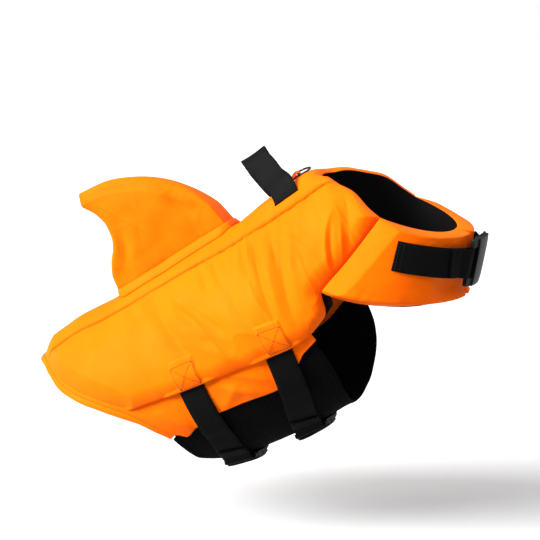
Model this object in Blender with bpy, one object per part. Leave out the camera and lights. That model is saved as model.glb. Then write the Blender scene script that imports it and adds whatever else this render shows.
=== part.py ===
"""Dog life jacket with a stuffed fin, in the form it has on a dog that sits.

The jacket is a hollow shell round the dog's trunk, which is pitched up towards the front. +X is
the way that the dog faces, +Y its left and +Z up. The origin is the inner face of the back, where
the dog's back holds the jacket. Tables are in millimetres and degrees, with their columns named
above them, and become metres where a point is worked out.

Every panel is a patch of one trunk surface, read at a place along the spine and an angle round the
trunk, which is 0 on the spine and 180 on the belly. A layer lies between two offsets from it.
"""

import math
from collections import namedtuple

import bpy
import numpy as np

MM = 0.001

# Driving dimensions, in millimetres and degrees.
TRUNK_PITCH = 35.4
HOLD_ALONG = 215.0
SEAM_GAP = 0.4
SEAM_GAP_ANGLE = 0.16
SHELL_INSIDE = 1.3
FOAM_OUTSIDE = 13.0
CLOTH = 3.3
LINING = (-0.4, 0.6)
MESH_LAYER = (1.3, 2.8)
FLAP_LAYER = (3.2, 4.7)
STRAP_OVER_FLAP = 6.0
WEBBING_WIDTH = 27.0
WEBBING = 1.5
STRAP_CLEAR = 0.5
CHEST_OUTSIDE = 17.3
FIN_BASE_HEIGHT = 6.5
FIN_BASE_HALF = 17.0
FIN_BASE_ENDS = (104.0, 244.0)
FIN_BASE_ROUND = 12.0
RING_ALONG = 324.5
RING_WIRE = 1.0
RING_HALF_WIDTH = 11.5
RING_REACH = 12.4
RING_CORNER = 2.4
RING_TILT = -7.0
BAR_HEIGHT = 4.2
TAB_HALF_WIDTH = 7.5
TAB_PLY = 1.0
TAB_ROLL = 13.0
TAB_YAW = 24.0
TAB_LENGTH = 18.0
TAB_HOLE = RING_WIRE + 0.4

# The trunk under the jacket. crown is the height of the spine over the pitched axis.
# along, crown, half_width, depth, narrowing of the back
TRUNK = (
    (-30, 1.8, 60, 146, 0.22),
    (0, 6.8, 65, 156, 0.24),
    (45, 8.3, 71, 166, 0.26),
    (94, 3.3, 76, 172, 0.27),
    (150, 0.8, 80, 182, 0.27),
    (200, -0.7, 83, 186, 0.27),
    (235, -2.2, 84, 186, 0.26),
    (275, -1.2, 83, 190, 0.24),
    (300, -1.0, 80, 188, 0.21),
    (332, -0.2, 74, 183, 0.18),
    (385, 1.2, 60, 170, 0.08),
    (430, 0.0, 50, 160, 0.0),
)
KEEL = 0.10

# Seam between the spine strip and a side panel.
# along, angle
STRIP_SEAM = (
    (-30, 30),
    (-10, 29),
    (20, 27),
    (80, 26.5),
    (146, 27),
    (200, 28.5),
    (254, 31.5),
    (327, 35),
    (430, 37),
)

# Angles that a side panel spans at the rear seam and at the neck, and the flap at the rear seam.
PANEL_REAR = (27.0, 91.5)
PANEL_NECK = (36.3, 75.2)
FLAP_REAR = (92.6, 116.5)

# Seam where the foam ends and the rear hem starts.
# angle, along
REAR_SEAM = (
    (0, -1),
    (15, 3.5),
    (28, 9.7),
    (40, 15.5),
    (52, 22.6),
    (65, 36.2),
    (73, 48),
    (82, 64.5),
    (91.5, 83),
    (98, 89.2),
    (108, 99),
    (117.5, 107.3),
    (125, 110),
)

# Rear hem, from the spine to the corner of the lower flap.
# outer angle, outer along, inner angle
REAR_HEM = (
    (0, -11, 0),
    (12, -7.6, 10),
    (24, -1.2, 20),
    (36, 5.2, 31),
    (48, 11.2, 42),
    (60, 18.7, 53),
    (71, 31, 64),
    (78.5, 41.5, 71),
    (85.4, 53.2, 78),
    (94, 68, 87),
    (103, 82.7, 97),
    (112, 91, 107),
    (120, 97, 117),
)

HEM_THICKNESS = (3.4, 3.0, 2.8, 1.8)

# Neck edge, from the spine down to the shoulder seam.
# angle, along
NECK_EDGE = ((0, 345), (12.7, 347), (24.6, 357), (36.3, 365), (52, 378), (65, 383), (75.2, 388))

# Lower edge of a side panel: pocket edge, then armhole, then shoulder seam.
# along, angle
LOWER_EDGE = (
    (60, 91),
    (83, 91.5),
    (142, 93.3),
    (173, 94.7),
    (205, 97),
    (237, 99.5),
    (265, 101),
    (279, 101),
    (293, 99.5),
    (302, 97.8),
    (306, 95),
    (308, 91),
    (311, 87),
    (320, 85.3),
    (341, 83),
    (365, 79.6),
    (388, 75.2),
)
SHOULDER_START, SHOULDER_END = 388.0, 311.0

# Lower edge and tucked upper edge of the lower flap.
# along, upper angle, lower angle
FLAP_EDGES = (
    (84, 92.4, 116),
    (98, 90.5, 116.3),
    (107.3, 87, 116.7),
    (114.5, 84, 120.6),
    (128, 83, 117.4),
    (162, 84.5, 114.4),
    (193, 86.5, 115.8),
    (223, 89, 118.6),
    (240, 90, 117),
    (256, 91, 111),
    (266, 91, 107.5),
    (283, 91, 105),
)
FLAP_FRONT = 283.0

# Belly panel.
# angle, rear along, front along
BELLY_EDGES = (
    (104, 104.5, 281),
    (112, 106.5, 280),
    (118.6, 108.6, 279),
    (121, 98.6, 278),
    (132, 97.9, 272),
    (145, 97.2, 264),
    (153, 103, 260),
    (162, 110, 255),
    (180, 117, 250),
)
# along, angle of its upper edge
BELLY_TOP = ((97, 105), (200, 104), (235, 102), (262, 97), (284, 96))

# Armhole lining, a band that shows in front of the armhole edge.
# angle, rear along, front along
ARMHOLE_LINING = (
    (84, 298, 316),
    (88, 297, 316),
    (92, 296, 315.5),
    (95.4, 294, 314),
    (97.5, 290, 304.5),
    (99.5, 283, 294.5),
    (101.5, 274, 283),
)

# Foam of a side panel, strip or chest panel near its edges.
# height of the edge, width of the slope
SLOPE_STRIP = (8.8, 8.0)
SLOPE_HEM = (4.7, 17.0)
SLOPE_NECK = (5.6, 15.0)
SLOPE_SHOULDER = (5.2, 14.0)
SLOPE_ARMHOLE = (6.4, 10.0)
SLOPE_POCKET = (10.2, 8.0)
SLOPE_CHEST_SEAM = (5.2, 19.0)
SLOPE_CHEST_EDGE = (9.0, 7.0)

# Where a side panel is lifted over what is tucked under it: how far up from its lower edge, from
# which place at the rear and at the front, and how far from a strap's middle, each from none to all.
POCKET_DEPTH = (40.0, 23.0)
POCKET_REAR_END = (76.0, 88.0)
POCKET_FRONT_END = (304.0, 288.0)
POCKET_OVER_STRAP = (34.0, 21.0)
OVER_STRAP = STRAP_OVER_FLAP + 1.7
THINNEST_FOAM = 2.6

# The largest folds of the side panels. A negative height is a trough.
# along, angle, along, angle of its ends, height, half width
FOLDS_RIGHT = (
    (154, 39, 179, 84, -2.4, 9),
    (173, 45, 218, 86, -2.6, 10),
    (276, 42, 268, 84, -2.2, 7),
    (303, 50, 283, 88, -2.4, 8),
    (368, 50, 349, 80, -3.0, 9),
    (354, 58, 333, 80, 1.6, 7),
)
FOLDS_LEFT = (
    (140, 42, 172, 80, -2.2, 10),
    (196, 44, 226, 84, -2.6, 9),
    (268, 46, 262, 80, -2.0, 8),
    (298, 44, 276, 86, -2.5, 8),
    (364, 52, 345, 79, -2.8, 9),
    (350, 60, 330, 81, 1.5, 7),
)
# The dip of the back in front of the fin, the hollows beside the handle and the one at the tab.
FOLDS_STRIP = (
    (257, -12, 257, 12, -5.4, 12),
    (272, -26, 278, -12, -1.5, 7),
    (272, 26, 278, 12, -1.5, 7),
    (321, -8, 321, 8, -2.6, 9),
)
FOLD_ANGLE_SCALE = 1.4

# Front centre of the chest panels, on their inner face, from the neck edge to the lower edge.
# share of the height, forward, up
CHEST_FRONT = ((0, 229, 33), (0.5, 233, 3), (1, 229, -27))
# How the rows of a chest panel leave the shoulder seam and how hard they turn at the front.
# share of the height, forward, outward, up, turn
CHEST_LEAVE = ((0, 84, 4, -28, 96), (1, 146, -12, -46, 132))
# Clearance of a chest panel from the shoulder seam, where the two forms meet at an angle.
# share of the height, clearance
CHEST_SEAM_CLEAR = ((0, 0.6), (0.7, 0.7), (1, 1.3))
CHEST_FRONT_CLEAR = 1.2
# How far the chest strap and its buckle press the foam in, at and beside the front centre.
# share of the height, depth
CHEST_PRESS = ((0, 0), (0.12, 1.5), (0.4, 6.5), (0.7, 9.5), (0.85, 7.0), (1, 1.0))
CHEST_PRESS_REACH = (56.0, 29.0)

# Fin outline in the trunk's own plane, from the base up.
# along, up
FIN_LEADING = (
    (241, 18),
    (238.5, 30),
    (232, 47),
    (221.5, 65),
    (204, 84.5),
    (180, 101.5),
    (151, 114),
    (123, 118.5),
)
FIN_TRAILING = (
    (107, 24),
    (109, 32),
    (117, 46),
    (126, 56),
    (131, 66),
    (132.5, 79),
    (129, 92),
    (119.5, 107),
)
# share of the height, half thickness at the edges, half thickness in the middle
FIN_THICKNESS = ((0, 13.0, 14.5), (0.35, 12.0, 15.5), (0.7, 9.5, 12.5), (1, 6.0, 7.0))

# Handle from the right foot, over the arch, to the left foot, which is sewn on further back.
# side, rise over the strip's crown, along
HANDLE_ARCH = (
    (-25.5, -1.0, 315),
    (-21.5, 11, 309.5),
    (-17, 23, 303.5),
    (-11.5, 34, 299),
    (-5, 40.5, 296.5),
    (2, 41.8, 294.5),
    (9, 37, 292),
    (15, 26, 290.5),
    (20, 13, 290.5),
    (25.5, -1.0, 291),
)
# How far round the strip the middle of each foot's outer end and inner end lies.
HANDLE_FOOT_ANGLES = (29.5, 24.5)
HANDLE_WIDTH = 27.0

# Centre lines of the belly straps.
# angle, rear strap along, front strap along
BELLY_STRAPS = (
    (80, 156.5, 252.5),
    (94, 154.5, 250.5),
    (100, 152.5, 248),
    (116, 146.5, 239),
    (129, 141, 229),
    (143, 134, 217),
    (160, 127, 205.5),
    (170, 124.5, 201.5),
    (180, 123.8, 200.5),
    (190, 124.5, 201.5),
)
BELLY_MOUTH_ANGLE = 183.0
STRAP_TUCK = 16.0
STRAP_LEAVES_POCKET = 94.0
STRAP_LEAVES_FLAP = 123.0
STRAP_REACHES_MESH = 132.0

# Centre line of the chest strap on a chest panel.
# share of the way from the seam to the front, share of the height
CHEST_STRAP = ((0.2, 0.35), (0.45, 0.37), (0.7, 0.41), (0.9, 0.43), (1, 0.43))
CHEST_STRAP_END = 0.265
CHEST_MOUTH_LEFT = 7.0

# Side-release buckle. along runs from the socket to the plug and is 0 at the socket's mouth,
# across is to either side and up is over what the buckle lies on.
SOCKET_LENGTH = 30.0
PLUG_LENGTH = 16.5
BAR_LENGTH = 2.4
BAR_UP = (3.0, 5.4)
SOCKET_UP = (1.0, 9.0)
CAVITY_UP = (3.0, 7.4)
PLUG_UP = (1.8, 8.6)
PRONG_UP = (3.5, 6.9)
SLOT_HALF = 14.4
LOOP_RADIUS = 2.95
LOOP_CENTRE_UP = 4.2
LOOP_OVERLAP = 25.0
CHEST_BUCKLE_ROLL = 14.0
CHEST_BUCKLE_LIFT = -2.6

# Each part's colour, roughness and metallic value.
ORANGE = ((1.0, 0.30, 0.005), 0.5, 0.0)
BLACK_WEB = ((0.012, 0.012, 0.013), 0.75, 0.0)
BLACK_MESH = ((0.008, 0.008, 0.009), 0.85, 0.0)
BLACK_LINING = ((0.01, 0.01, 0.011), 0.8, 0.0)
DARK_PLASTIC = ((0.03, 0.032, 0.035), 0.35, 0.0)
DARK_METAL = ((0.25, 0.25, 0.26), 0.3, 1.0)

Track = namedtuple("Track", "stations centre across normal")
Buckle = namedtuple("Buckle", "half length")


def column(table, place, number):
    """Value of one column of a table, smooth and free of overshoot between its rows."""
    rows = np.asarray(table, float)
    xs, ys = rows[:, 0], rows[:, number]
    steps = np.diff(ys) / np.diff(xs)
    before, after = steps[:-1], steps[1:]
    same_way = before * after > 0
    mean = 2 * before * after / np.where(same_way, before + after, 1)
    slopes = np.concatenate([steps[:1], np.where(same_way, mean, 0), steps[-1:]])
    place = np.clip(place, xs[0], xs[-1])
    row = np.clip(np.searchsorted(xs, place, side="right") - 1, 0, len(xs) - 2)
    width = xs[row + 1] - xs[row]
    share = (place - xs[row]) / width
    rest = 1 - share
    return (
        rest**2 * (1 + 2 * share) * ys[row]
        + share * rest**2 * width * slopes[row]
        + share**2 * (1 + 2 * rest) * ys[row + 1]
        - share**2 * rest * width * slopes[row + 1]
    )


def pitched(along, side, up):
    """Points in millimetres from the pitched trunk's own directions."""
    pitch = math.radians(TRUNK_PITCH)
    along = np.asarray(along) - HOLD_ALONG
    x = along * math.cos(pitch) - up * math.sin(pitch)
    z = along * math.sin(pitch) + up * math.cos(pitch)
    return np.stack(np.broadcast_arrays(x, side, z), axis=-1)


def trunk(along, angle):
    """Points of the dog's trunk, an oval narrowed at the back. Positive angles are on the right."""
    turn = np.radians(angle)
    crown, half_width, depth, back = (column(TRUNK, along, k) for k in (1, 2, 3, 4))
    narrowing = np.where(np.cos(turn) > 0, back, KEEL) * np.cos(turn) ** 2
    side = -half_width * np.sin(turn) * (1 - narrowing)
    up = crown - depth / 2 * (1 - np.cos(turn))
    return pitched(along, side, up)


def unit(vectors):
    return vectors / np.linalg.norm(vectors, axis=-1, keepdims=True)


def trunk_normal(along, angle):
    """Outward direction of the trunk, from its slopes along and round."""
    step = 0.05
    ahead = trunk(along + step, angle) - trunk(along - step, angle)
    round_it = trunk(along, angle + step) - trunk(along, angle - step)
    return unit(np.cross(round_it, ahead))


def over_trunk(along, angle, height):
    """Points of the trunk moved out by a height."""
    along, angle = np.broadcast_arrays(np.asarray(along, float), np.asarray(angle, float))
    height = np.broadcast_to(height, along.shape)
    return trunk(along, angle) + height[..., None] * trunk_normal(along, angle)


def mirrored(points):
    return points * np.array([1.0, -1.0, 1.0])


def distance_to_line(points, line):
    """Shortest distance from each point to a line of points."""
    starts, steps = line[:-1], np.diff(line, axis=0)
    from_start = points[..., None, :] - starts
    share = np.clip((from_start * steps).sum(-1) / (steps**2).sum(-1), 0, 1)
    return np.linalg.norm(from_start - share[..., None] * steps, axis=-1).min(-1)


def foam_height(points, full, edges):
    """Height of the foam at points of the trunk: full inside, and sloping down at each edge."""
    height = np.full(points.shape[:-1], float(full))
    for line, (edge_height, width) in edges:
        share = np.clip(distance_to_line(points, line) / width, 0, 1)
        rise = (full - edge_height) * np.sin(share * math.pi / 2)
        height = np.minimum(height, edge_height + rise)
    return height


def fold_height(along, angle, folds):
    """Sum of the folds at a place: each is highest on its line and fades to its sides and ends."""
    scale = np.array([1.0, FOLD_ANGLE_SCALE])
    place = np.stack([along, angle], axis=-1) * scale
    total = np.zeros(place.shape[:-1])
    for along_a, angle_a, along_b, angle_b, height, half_width in folds:
        ends = np.array([[along_a, angle_a], [along_b, angle_b]]) * scale
        total += height * np.exp(-((distance_to_line(place, ends) / half_width) ** 2))
    return total


def add_object(name, points, faces, look, origin=(0.0, 0.0, 0.0)):
    """Makes one object from points in millimetres, with its faces turned outwards."""
    points = np.asarray(points, float).reshape(-1, 3)
    first = points[[face[0] for face in faces]]
    volume = 0.0
    for second, third in ((1, 2), (2, 3)):
        b = points[[face[second] for face in faces]]
        c = points[[face[third] if third < len(face) else face[0] for face in faces]]
        volume += np.einsum("ij,ij->i", first, np.cross(b, c)).sum()
    if volume < 0:
        faces = [tuple(reversed(face)) for face in faces]
    local = (points - np.asarray(origin)) * MM
    mesh = bpy.data.meshes.new(name)
    mesh.from_pydata(local.tolist(), [], [tuple(face) for face in faces])
    mesh.shade_smooth()
    mesh.set_sharp_from_angle(angle=math.radians(40))
    colour, roughness, metallic = look
    material = bpy.data.materials.new(name)
    material.use_nodes = True
    shader = material.node_tree.nodes["Principled BSDF"]
    shader.inputs["Base Color"].default_value = (*colour, 1.0)
    shader.inputs["Roughness"].default_value = roughness
    shader.inputs["Metallic"].default_value = metallic
    mesh.materials.append(material)
    made = bpy.data.objects.new(name, mesh)
    made.location = [value * MM for value in origin]
    bpy.context.scene.collection.objects.link(made)
    return made


def grid_quads(grid):
    return np.stack([grid[:-1, :-1], grid[1:, :-1], grid[1:, 1:], grid[:-1, 1:]], -1).reshape(-1, 4)


def slab(inner, outer):
    """Points and faces of the closed body between two grids of the same size."""
    rows, columns = inner.shape[:2]
    low = np.arange(rows * columns).reshape(rows, columns)
    high = low + rows * columns
    rim = np.concatenate([low[0, :], low[1:, -1], low[-1, -2::-1], low[-2:0:-1, 0]])
    after = np.roll(rim, -1)
    wall = np.stack([after, rim, rim + rows * columns, after + rows * columns], -1)
    faces = np.concatenate([grid_quads(low)[:, ::-1], grid_quads(high), wall])
    return np.concatenate([inner.reshape(-1, 3), outer.reshape(-1, 3)]), faces.tolist()


def add_slab(name, inner, outer, look, left=False):
    points, faces = slab(inner, outer)
    return add_object(name, mirrored(points) if left else points, faces, look)


def stations(*spans):
    """Places from spans of (start, end, number of steps), each end shared with the next start."""
    runs = [np.linspace(start, end, steps, endpoint=False) for start, end, steps in spans]
    return np.concatenate([*runs, [spans[-1][1]]])


# ---- Spine strip -------------------------------------------------------------------------------


def strip_edges():
    """The strip's own edges, as lines on the trunk with the slope of the foam beside each."""
    along = np.linspace(-5, 370, 60)
    angle = column(STRIP_SEAM, along, 1)
    across = np.linspace(-37, 37, 30)
    rear = trunk(column(REAR_SEAM, np.abs(across), 1), across)
    neck = trunk(column(NECK_EDGE, np.abs(across), 1), across)
    return (
        (trunk(along, angle), SLOPE_STRIP),
        (trunk(along, -angle), SLOPE_STRIP),
        (rear, SLOPE_HEM),
        (neck, SLOPE_NECK),
    )


def strip_height(along, angle):
    """Offset of the strip's outer face."""
    foam = foam_height(trunk(along, angle), FOAM_OUTSIDE, strip_edges())
    return foam + fold_height(along, angle, FOLDS_STRIP) * (foam - CLOTH) / (FOAM_OUTSIDE - CLOTH)


def over_strip(along, left, height):
    """Points over the strip's outer face, from distances to the left of the spine."""
    along, left = np.broadcast_arrays(np.asarray(along, float), np.asarray(left, float))
    ten_degrees = np.linalg.norm(trunk(along, 5.0) - trunk(along, -5.0), axis=-1)
    angle = -left * 10 / ten_degrees
    return over_trunk(along, angle, strip_height(along, angle) + height)


def add_spine_strip():
    share_along = stations((0, 0.06, 2), (0.06, 0.62, 11), (0.62, 0.94, 10), (0.94, 1, 2))[:, None]
    across = stations((-1, -0.76, 2), (-0.76, 0.76, 6), (0.76, 1, 2))[None, :]
    rear = column(REAR_SEAM, np.abs(across) * PANEL_REAR[0], 1) + SEAM_GAP
    neck = column(NECK_EDGE, np.abs(across) * PANEL_NECK[0], 1)
    along = rear + share_along * (neck - rear)
    angle = across * (column(STRIP_SEAM, along, 1) - SEAM_GAP_ANGLE)
    inner = over_trunk(along, angle, SHELL_INSIDE)
    add_slab("spine_strip", inner, over_trunk(along, angle, strip_height(along, angle)), ORANGE)


# ---- Side panels -------------------------------------------------------------------------------


def panel_edges():
    """A side panel's edges, as lines on the trunk with the slope of the foam beside each."""
    seam_along = np.linspace(5, 370, 60)
    seam = trunk(seam_along, column(STRIP_SEAM, seam_along, 1))
    rear_angle = np.linspace(26, 92, 30)
    rear = trunk(column(REAR_SEAM, rear_angle, 1), rear_angle)
    neck_angle = np.linspace(34, 75.2, 20)
    neck = trunk(column(NECK_EDGE, neck_angle, 1), neck_angle)
    lines = []
    for start, end in ((83, 284), (284, 311), (311, 388)):
        along = np.linspace(start, end, 50)
        lines.append(trunk(along, column(LOWER_EDGE, along, 1)))
    pocket, armhole, shoulder = lines
    return (
        (seam, SLOPE_STRIP),
        (rear, SLOPE_HEM),
        (neck, SLOPE_NECK),
        (pocket, SLOPE_POCKET),
        (armhole, SLOPE_ARMHOLE),
        (shoulder, SLOPE_SHOULDER),
    )


def step_up(value, start, end):
    """0 at start, 1 at end, smooth between them."""
    share = np.clip((value - start) / (end - start), 0, 1)
    return share * share * (3 - 2 * share)


def panel_inside(along, angle):
    """Offset of a side panel's inner face, lifted near the pocket edge over flap and straps."""
    below_edge = (column(LOWER_EDGE, along, 1) - angle) * FOLD_ANGLE_SCALE
    near_edge = step_up(below_edge, *POCKET_DEPTH)
    stretch = step_up(along, *POCKET_REAR_END) * step_up(along, *POCKET_FRONT_END)
    over_flap = FLAP_LAYER[1] + SEAM_GAP
    height = np.full(near_edge.shape, over_flap)
    for number in (1, 2):
        off_centre = np.abs(along - column(BELLY_STRAPS, angle, number))
        height += (OVER_STRAP - over_flap) * step_up(off_centre, *POCKET_OVER_STRAP)
    return SHELL_INSIDE + near_edge * stretch * (height - SHELL_INSIDE)


def panel_outside(along, angle, folds):
    """Offset of a side panel's outer face."""
    inside = panel_inside(along, angle)
    foam = foam_height(trunk(along, angle), FOAM_OUTSIDE, panel_edges())
    soft = (foam - CLOTH) / (FOAM_OUTSIDE - CLOTH)
    return np.maximum(foam + soft * fold_height(along, angle, folds), inside + THINNEST_FOAM)


def panel_grid():
    """along and angle over a side panel, from the hem to the neck and from the strip down."""
    belly_rows = (0, 0.06, 2), (0.06, 0.63, 13), (0.63, 0.72, 2)
    shoulder_rows = (0.72, 0.752, 3), (0.752, 0.96, 6), (0.96, 1, 2)
    share_along = stations(*belly_rows, *shoulder_rows)[:, None]
    down = stations((0, 0.12, 2), (0.12, 0.88, 8), (0.88, 1, 2))[None, :]
    rear = column(REAR_SEAM, PANEL_REAR[0] + down * np.ptp(PANEL_REAR), 1) + SEAM_GAP
    neck = column(NECK_EDGE, PANEL_NECK[0] + down * np.ptp(PANEL_NECK), 1)
    along = rear + share_along * (neck - rear)
    seam = column(STRIP_SEAM, along, 1) + SEAM_GAP_ANGLE
    angle = seam + down * (column(LOWER_EDGE, along, 1) - seam)
    return along, angle


def add_side_panel(name, folds, left):
    along, angle = panel_grid()
    inner = over_trunk(along, angle, panel_inside(along, angle))
    outer = over_trunk(along, angle, panel_outside(along, angle, folds))
    add_slab(name, inner, outer, ORANGE, left)


# ---- Hem, flap, belly panel and armhole lining --------------------------------------------------


def add_rear_hem(name, left):
    """The two plies of cloth past the foam, thinner at their outer edge."""
    rows = np.asarray(REAR_HEM, float)
    row = np.linspace(0, len(rows) - 1, 20)
    numbered = np.column_stack([np.arange(len(rows)), rows])
    outer_angle, outer_along, inner_angle = (column(numbered, row, k)[:, None] for k in (1, 2, 3))
    inner_along = column(REAR_SEAM, inner_angle, 1) - SEAM_GAP
    share = np.array([0, 0.3, 0.75, 1.0])[None, :]
    angle = inner_angle + share * (outer_angle - inner_angle)
    angle = np.maximum(angle, SEAM_GAP_ANGLE)
    along = inner_along + share * (outer_along - inner_along)
    thickness = np.array(HEM_THICKNESS)[None, :] + 0 * along
    inner = over_trunk(along, angle, SHELL_INSIDE)
    add_slab(name, inner, over_trunk(along, angle, SHELL_INSIDE + thickness), ORANGE, left)


def add_lower_flap(name, left):
    """The single cloth below the pocket edge, tucked under the side panel."""
    down = np.linspace(0, 1, 6)[None, :]
    rear_angle = FLAP_REAR[0] + np.ptp(FLAP_REAR) * down
    rear = column(REAR_SEAM, rear_angle, 1) + SEAM_GAP + 0.2
    share = stations((0, 0.16, 4), (0.16, 0.78, 7), (0.78, 1, 4))[:, None]
    along = rear + share * (FLAP_FRONT - rear)
    upper, lower = (column(FLAP_EDGES, along, k) for k in (1, 2))
    angle = upper + down * (lower - upper)
    angle = angle + (rear_angle - angle[:1]) * np.clip(1 - share / 0.3, 0, 1) ** 2
    inner, outer = (over_trunk(along, angle, height) for height in FLAP_LAYER)
    add_slab(name, inner, outer, ORANGE, left)


def add_belly_panel():
    """The mesh from one side to the other below the belly."""
    top = BELLY_EDGES[0][0]
    right = stations((top, 118.6, 2), (118.6, 121, 1), (121, 180, 8))
    nominal = np.concatenate([right, 360 - right[-2::-1]])[None, :]
    folded = np.minimum(nominal, 360 - nominal)
    rear, front = (column(BELLY_EDGES, folded, k) for k in (1, 2))
    along = rear + np.linspace(0, 1, 11)[:, None] * (front - rear)
    shift = (column(BELLY_TOP, along, 1) - top) * step_up(folded, 130, top)
    angle = nominal + np.where(nominal > 180, -shift, shift)
    inner, outer = (over_trunk(along, angle, height) for height in MESH_LAYER)
    add_slab("belly_panel", inner, outer, BLACK_MESH)


def add_armhole_lining(name, left):
    angle = np.linspace(ARMHOLE_LINING[0][0], ARMHOLE_LINING[-1][0], 10)[:, None]
    rear, front = (column(ARMHOLE_LINING, angle, k) for k in (1, 2))
    along = rear + np.linspace(0, 1, 3)[None, :] * (front - rear)
    inner, outer = (over_trunk(along, angle, height) for height in LINING)
    add_slab(name, inner, outer, BLACK_LINING, left)


# ---- Chest panels ------------------------------------------------------------------------------


def chest(down, ahead):
    """Points of the right chest panel's inner form. down is 0 at the neck and 1 at the lower edge.

    Each row is a cubic curve from the shoulder seam, ahead 0, to the front centre, ahead 1, where
    it runs straight across.
    """
    down, ahead = np.broadcast_arrays(np.asarray(down, float), np.asarray(ahead, float))
    along = SHOULDER_START + np.clip(down, -0.02, 1.1) * (SHOULDER_END - SHOULDER_START)
    seam = trunk(along, column(LOWER_EDGE, np.maximum(along, SHOULDER_END), 1))
    front = np.stack([column(CHEST_FRONT, down, 1), 0 * down, column(CHEST_FRONT, down, 2)], axis=-1)
    past = np.maximum(down - 1, 0)[..., None]
    front = front + past * np.array([-4.0, 0.0, -60.0])
    leave = np.stack([column(CHEST_LEAVE, down, k) for k in (1, 2, 3)], axis=-1)
    turn = np.stack([0 * down, column(CHEST_LEAVE, down, 4), 0 * down], axis=-1)
    share = ahead[..., None]
    rest = 1 - share
    return (
        rest**2 * (1 + 2 * share) * seam
        + share * rest**2 * leave
        + share**2 * (1 + 2 * rest) * front
        - share**2 * rest * turn
    )


def chest_normal(down, ahead):
    step = 0.002
    across = chest(down, np.minimum(ahead + step, 1)) - chest(down, np.maximum(ahead - step, 0))
    downward = chest(down + step, ahead) - chest(down - step, ahead)
    return unit(np.cross(downward, across))


def over_chest(down, ahead, height):
    down, ahead = np.broadcast_arrays(np.asarray(down, float), np.asarray(ahead, float))
    height = np.broadcast_to(height, down.shape)
    return chest(down, ahead) + height[..., None] * chest_normal(down, ahead)


def chest_edges():
    share = np.linspace(0, 1, 40)
    return (
        (chest(share, 0 * share), SLOPE_CHEST_SEAM),
        (chest(0 * share, share), SLOPE_CHEST_EDGE),
        (chest(0 * share + 1, share), SLOPE_CHEST_EDGE),
        (chest(share, 0 * share + 1), SLOPE_CHEST_EDGE),
    )


def add_chest_panel(name, left):
    down = stations((0, 0.14, 2), (0.14, 0.86, 4), (0.86, 1, 2))[:, None]
    ahead = stations((0, 0.16, 3), (0.16, 0.94, 10), (0.94, 1, 2))[None, :]
    steps = np.diff(chest(down, np.linspace(0, 1, 60)[None, :]), axis=1)
    row_length = np.linalg.norm(steps, axis=2).sum(1)[:, None]
    start = column(CHEST_SEAM_CLEAR, down, 1) / row_length
    end = 1 - CHEST_FRONT_CLEAR / row_length
    ahead = start + ahead * (end - start)
    down = down + 0 * ahead
    height = foam_height(chest(down, ahead), CHEST_OUTSIDE, chest_edges())
    pressed = column(CHEST_PRESS, down, 1) * step_up((1 - ahead) * row_length, *CHEST_PRESS_REACH)
    height = np.minimum(height, np.maximum(CHEST_OUTSIDE - pressed, CLOTH))
    inner = over_chest(down, ahead, SHELL_INSIDE)
    add_slab(name, inner, over_chest(down, ahead, height), ORANGE, left)


def add_chest_lining(name, left):
    """The lining band behind the lower edge, which shows below it."""
    ahead = np.linspace(0.16, 0.985, 14)[None, :]
    shows = 0.05 * np.sin(np.clip((ahead - 0.3) / 0.66, 0, 1) * math.pi) ** 0.7
    low = 0.985 + shows
    down = 0.78 + np.linspace(0, 1, 3)[:, None] * (low - 0.78)
    inner, outer = (over_chest(down, ahead, height) for height in LINING)
    add_slab(name, inner, outer, BLACK_LINING, left)


# ---- Fin ---------------------------------------------------------------------------------------


def add_fin_base():
    """The low band that joins the fin to the spine strip."""
    rear, front = FIN_BASE_ENDS
    after_rear, before_front = rear + FIN_BASE_ROUND, front - FIN_BASE_ROUND
    spans = (rear, after_rear, 3), (after_rear, before_front, 7), (before_front, front, 3)
    along = stations(*spans)[:, None]
    across = np.linspace(-1, 1, 5)[None, :]
    end = np.clip(np.minimum(along - rear, front - along) / FIN_BASE_ROUND, 0, 1)
    half = FIN_BASE_HALF * (0.62 + 0.38 * np.sin(end * math.pi / 2))
    top = FIN_BASE_HEIGHT - 1.6 * np.abs(across) ** 3
    inner = over_strip(along, across * half, SEAM_GAP)
    add_slab("fin_base", inner, over_strip(along, across * half, top), ORANGE)


def fin_line(table, share):
    """Points of a fin edge at shares of its length."""
    rows = np.asarray(table, float)
    length = np.concatenate([[0], np.cumsum(np.linalg.norm(np.diff(rows, axis=0), axis=1))])
    numbered = np.column_stack([length / length[-1], rows])
    return np.stack([column(numbered, share, 1), column(numbered, share, 2)], axis=-1)


def add_fin():
    """Two bowed faces over one outline, joined by a boxed edge."""
    rise = stations((0, 0.9, 11), (0.9, 1, 2))[:, None]
    chord = stations((0, 0.14, 2), (0.14, 0.86, 5), (0.86, 1, 2))[None, :]
    trailing, leading = fin_line(FIN_TRAILING, rise), fin_line(FIN_LEADING, rise)
    place = trailing + chord[..., None] * (leading - trailing)
    along, up = place[..., 0], place[..., 1]
    crown = column(TRUNK, along, 1) + strip_height(along, 0 * along) + FIN_BASE_HEIGHT + SEAM_GAP
    up = np.maximum(up + (crown - up) * step_up(rise, 0.12, 0), crown)
    edge, middle = (column(FIN_THICKNESS, rise, k) for k in (1, 2))
    bow = (4 * chord * (1 - chord)) ** 0.55 * np.sin(np.clip(rise / 0.22, 0, 1) * math.pi / 2)
    half = edge + (middle - edge) * bow
    add_slab("fin", pitched(along, half, up), pitched(along, -half, up), ORANGE)


# ---- Handle, leash ring and its tab --------------------------------------------------------------


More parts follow.
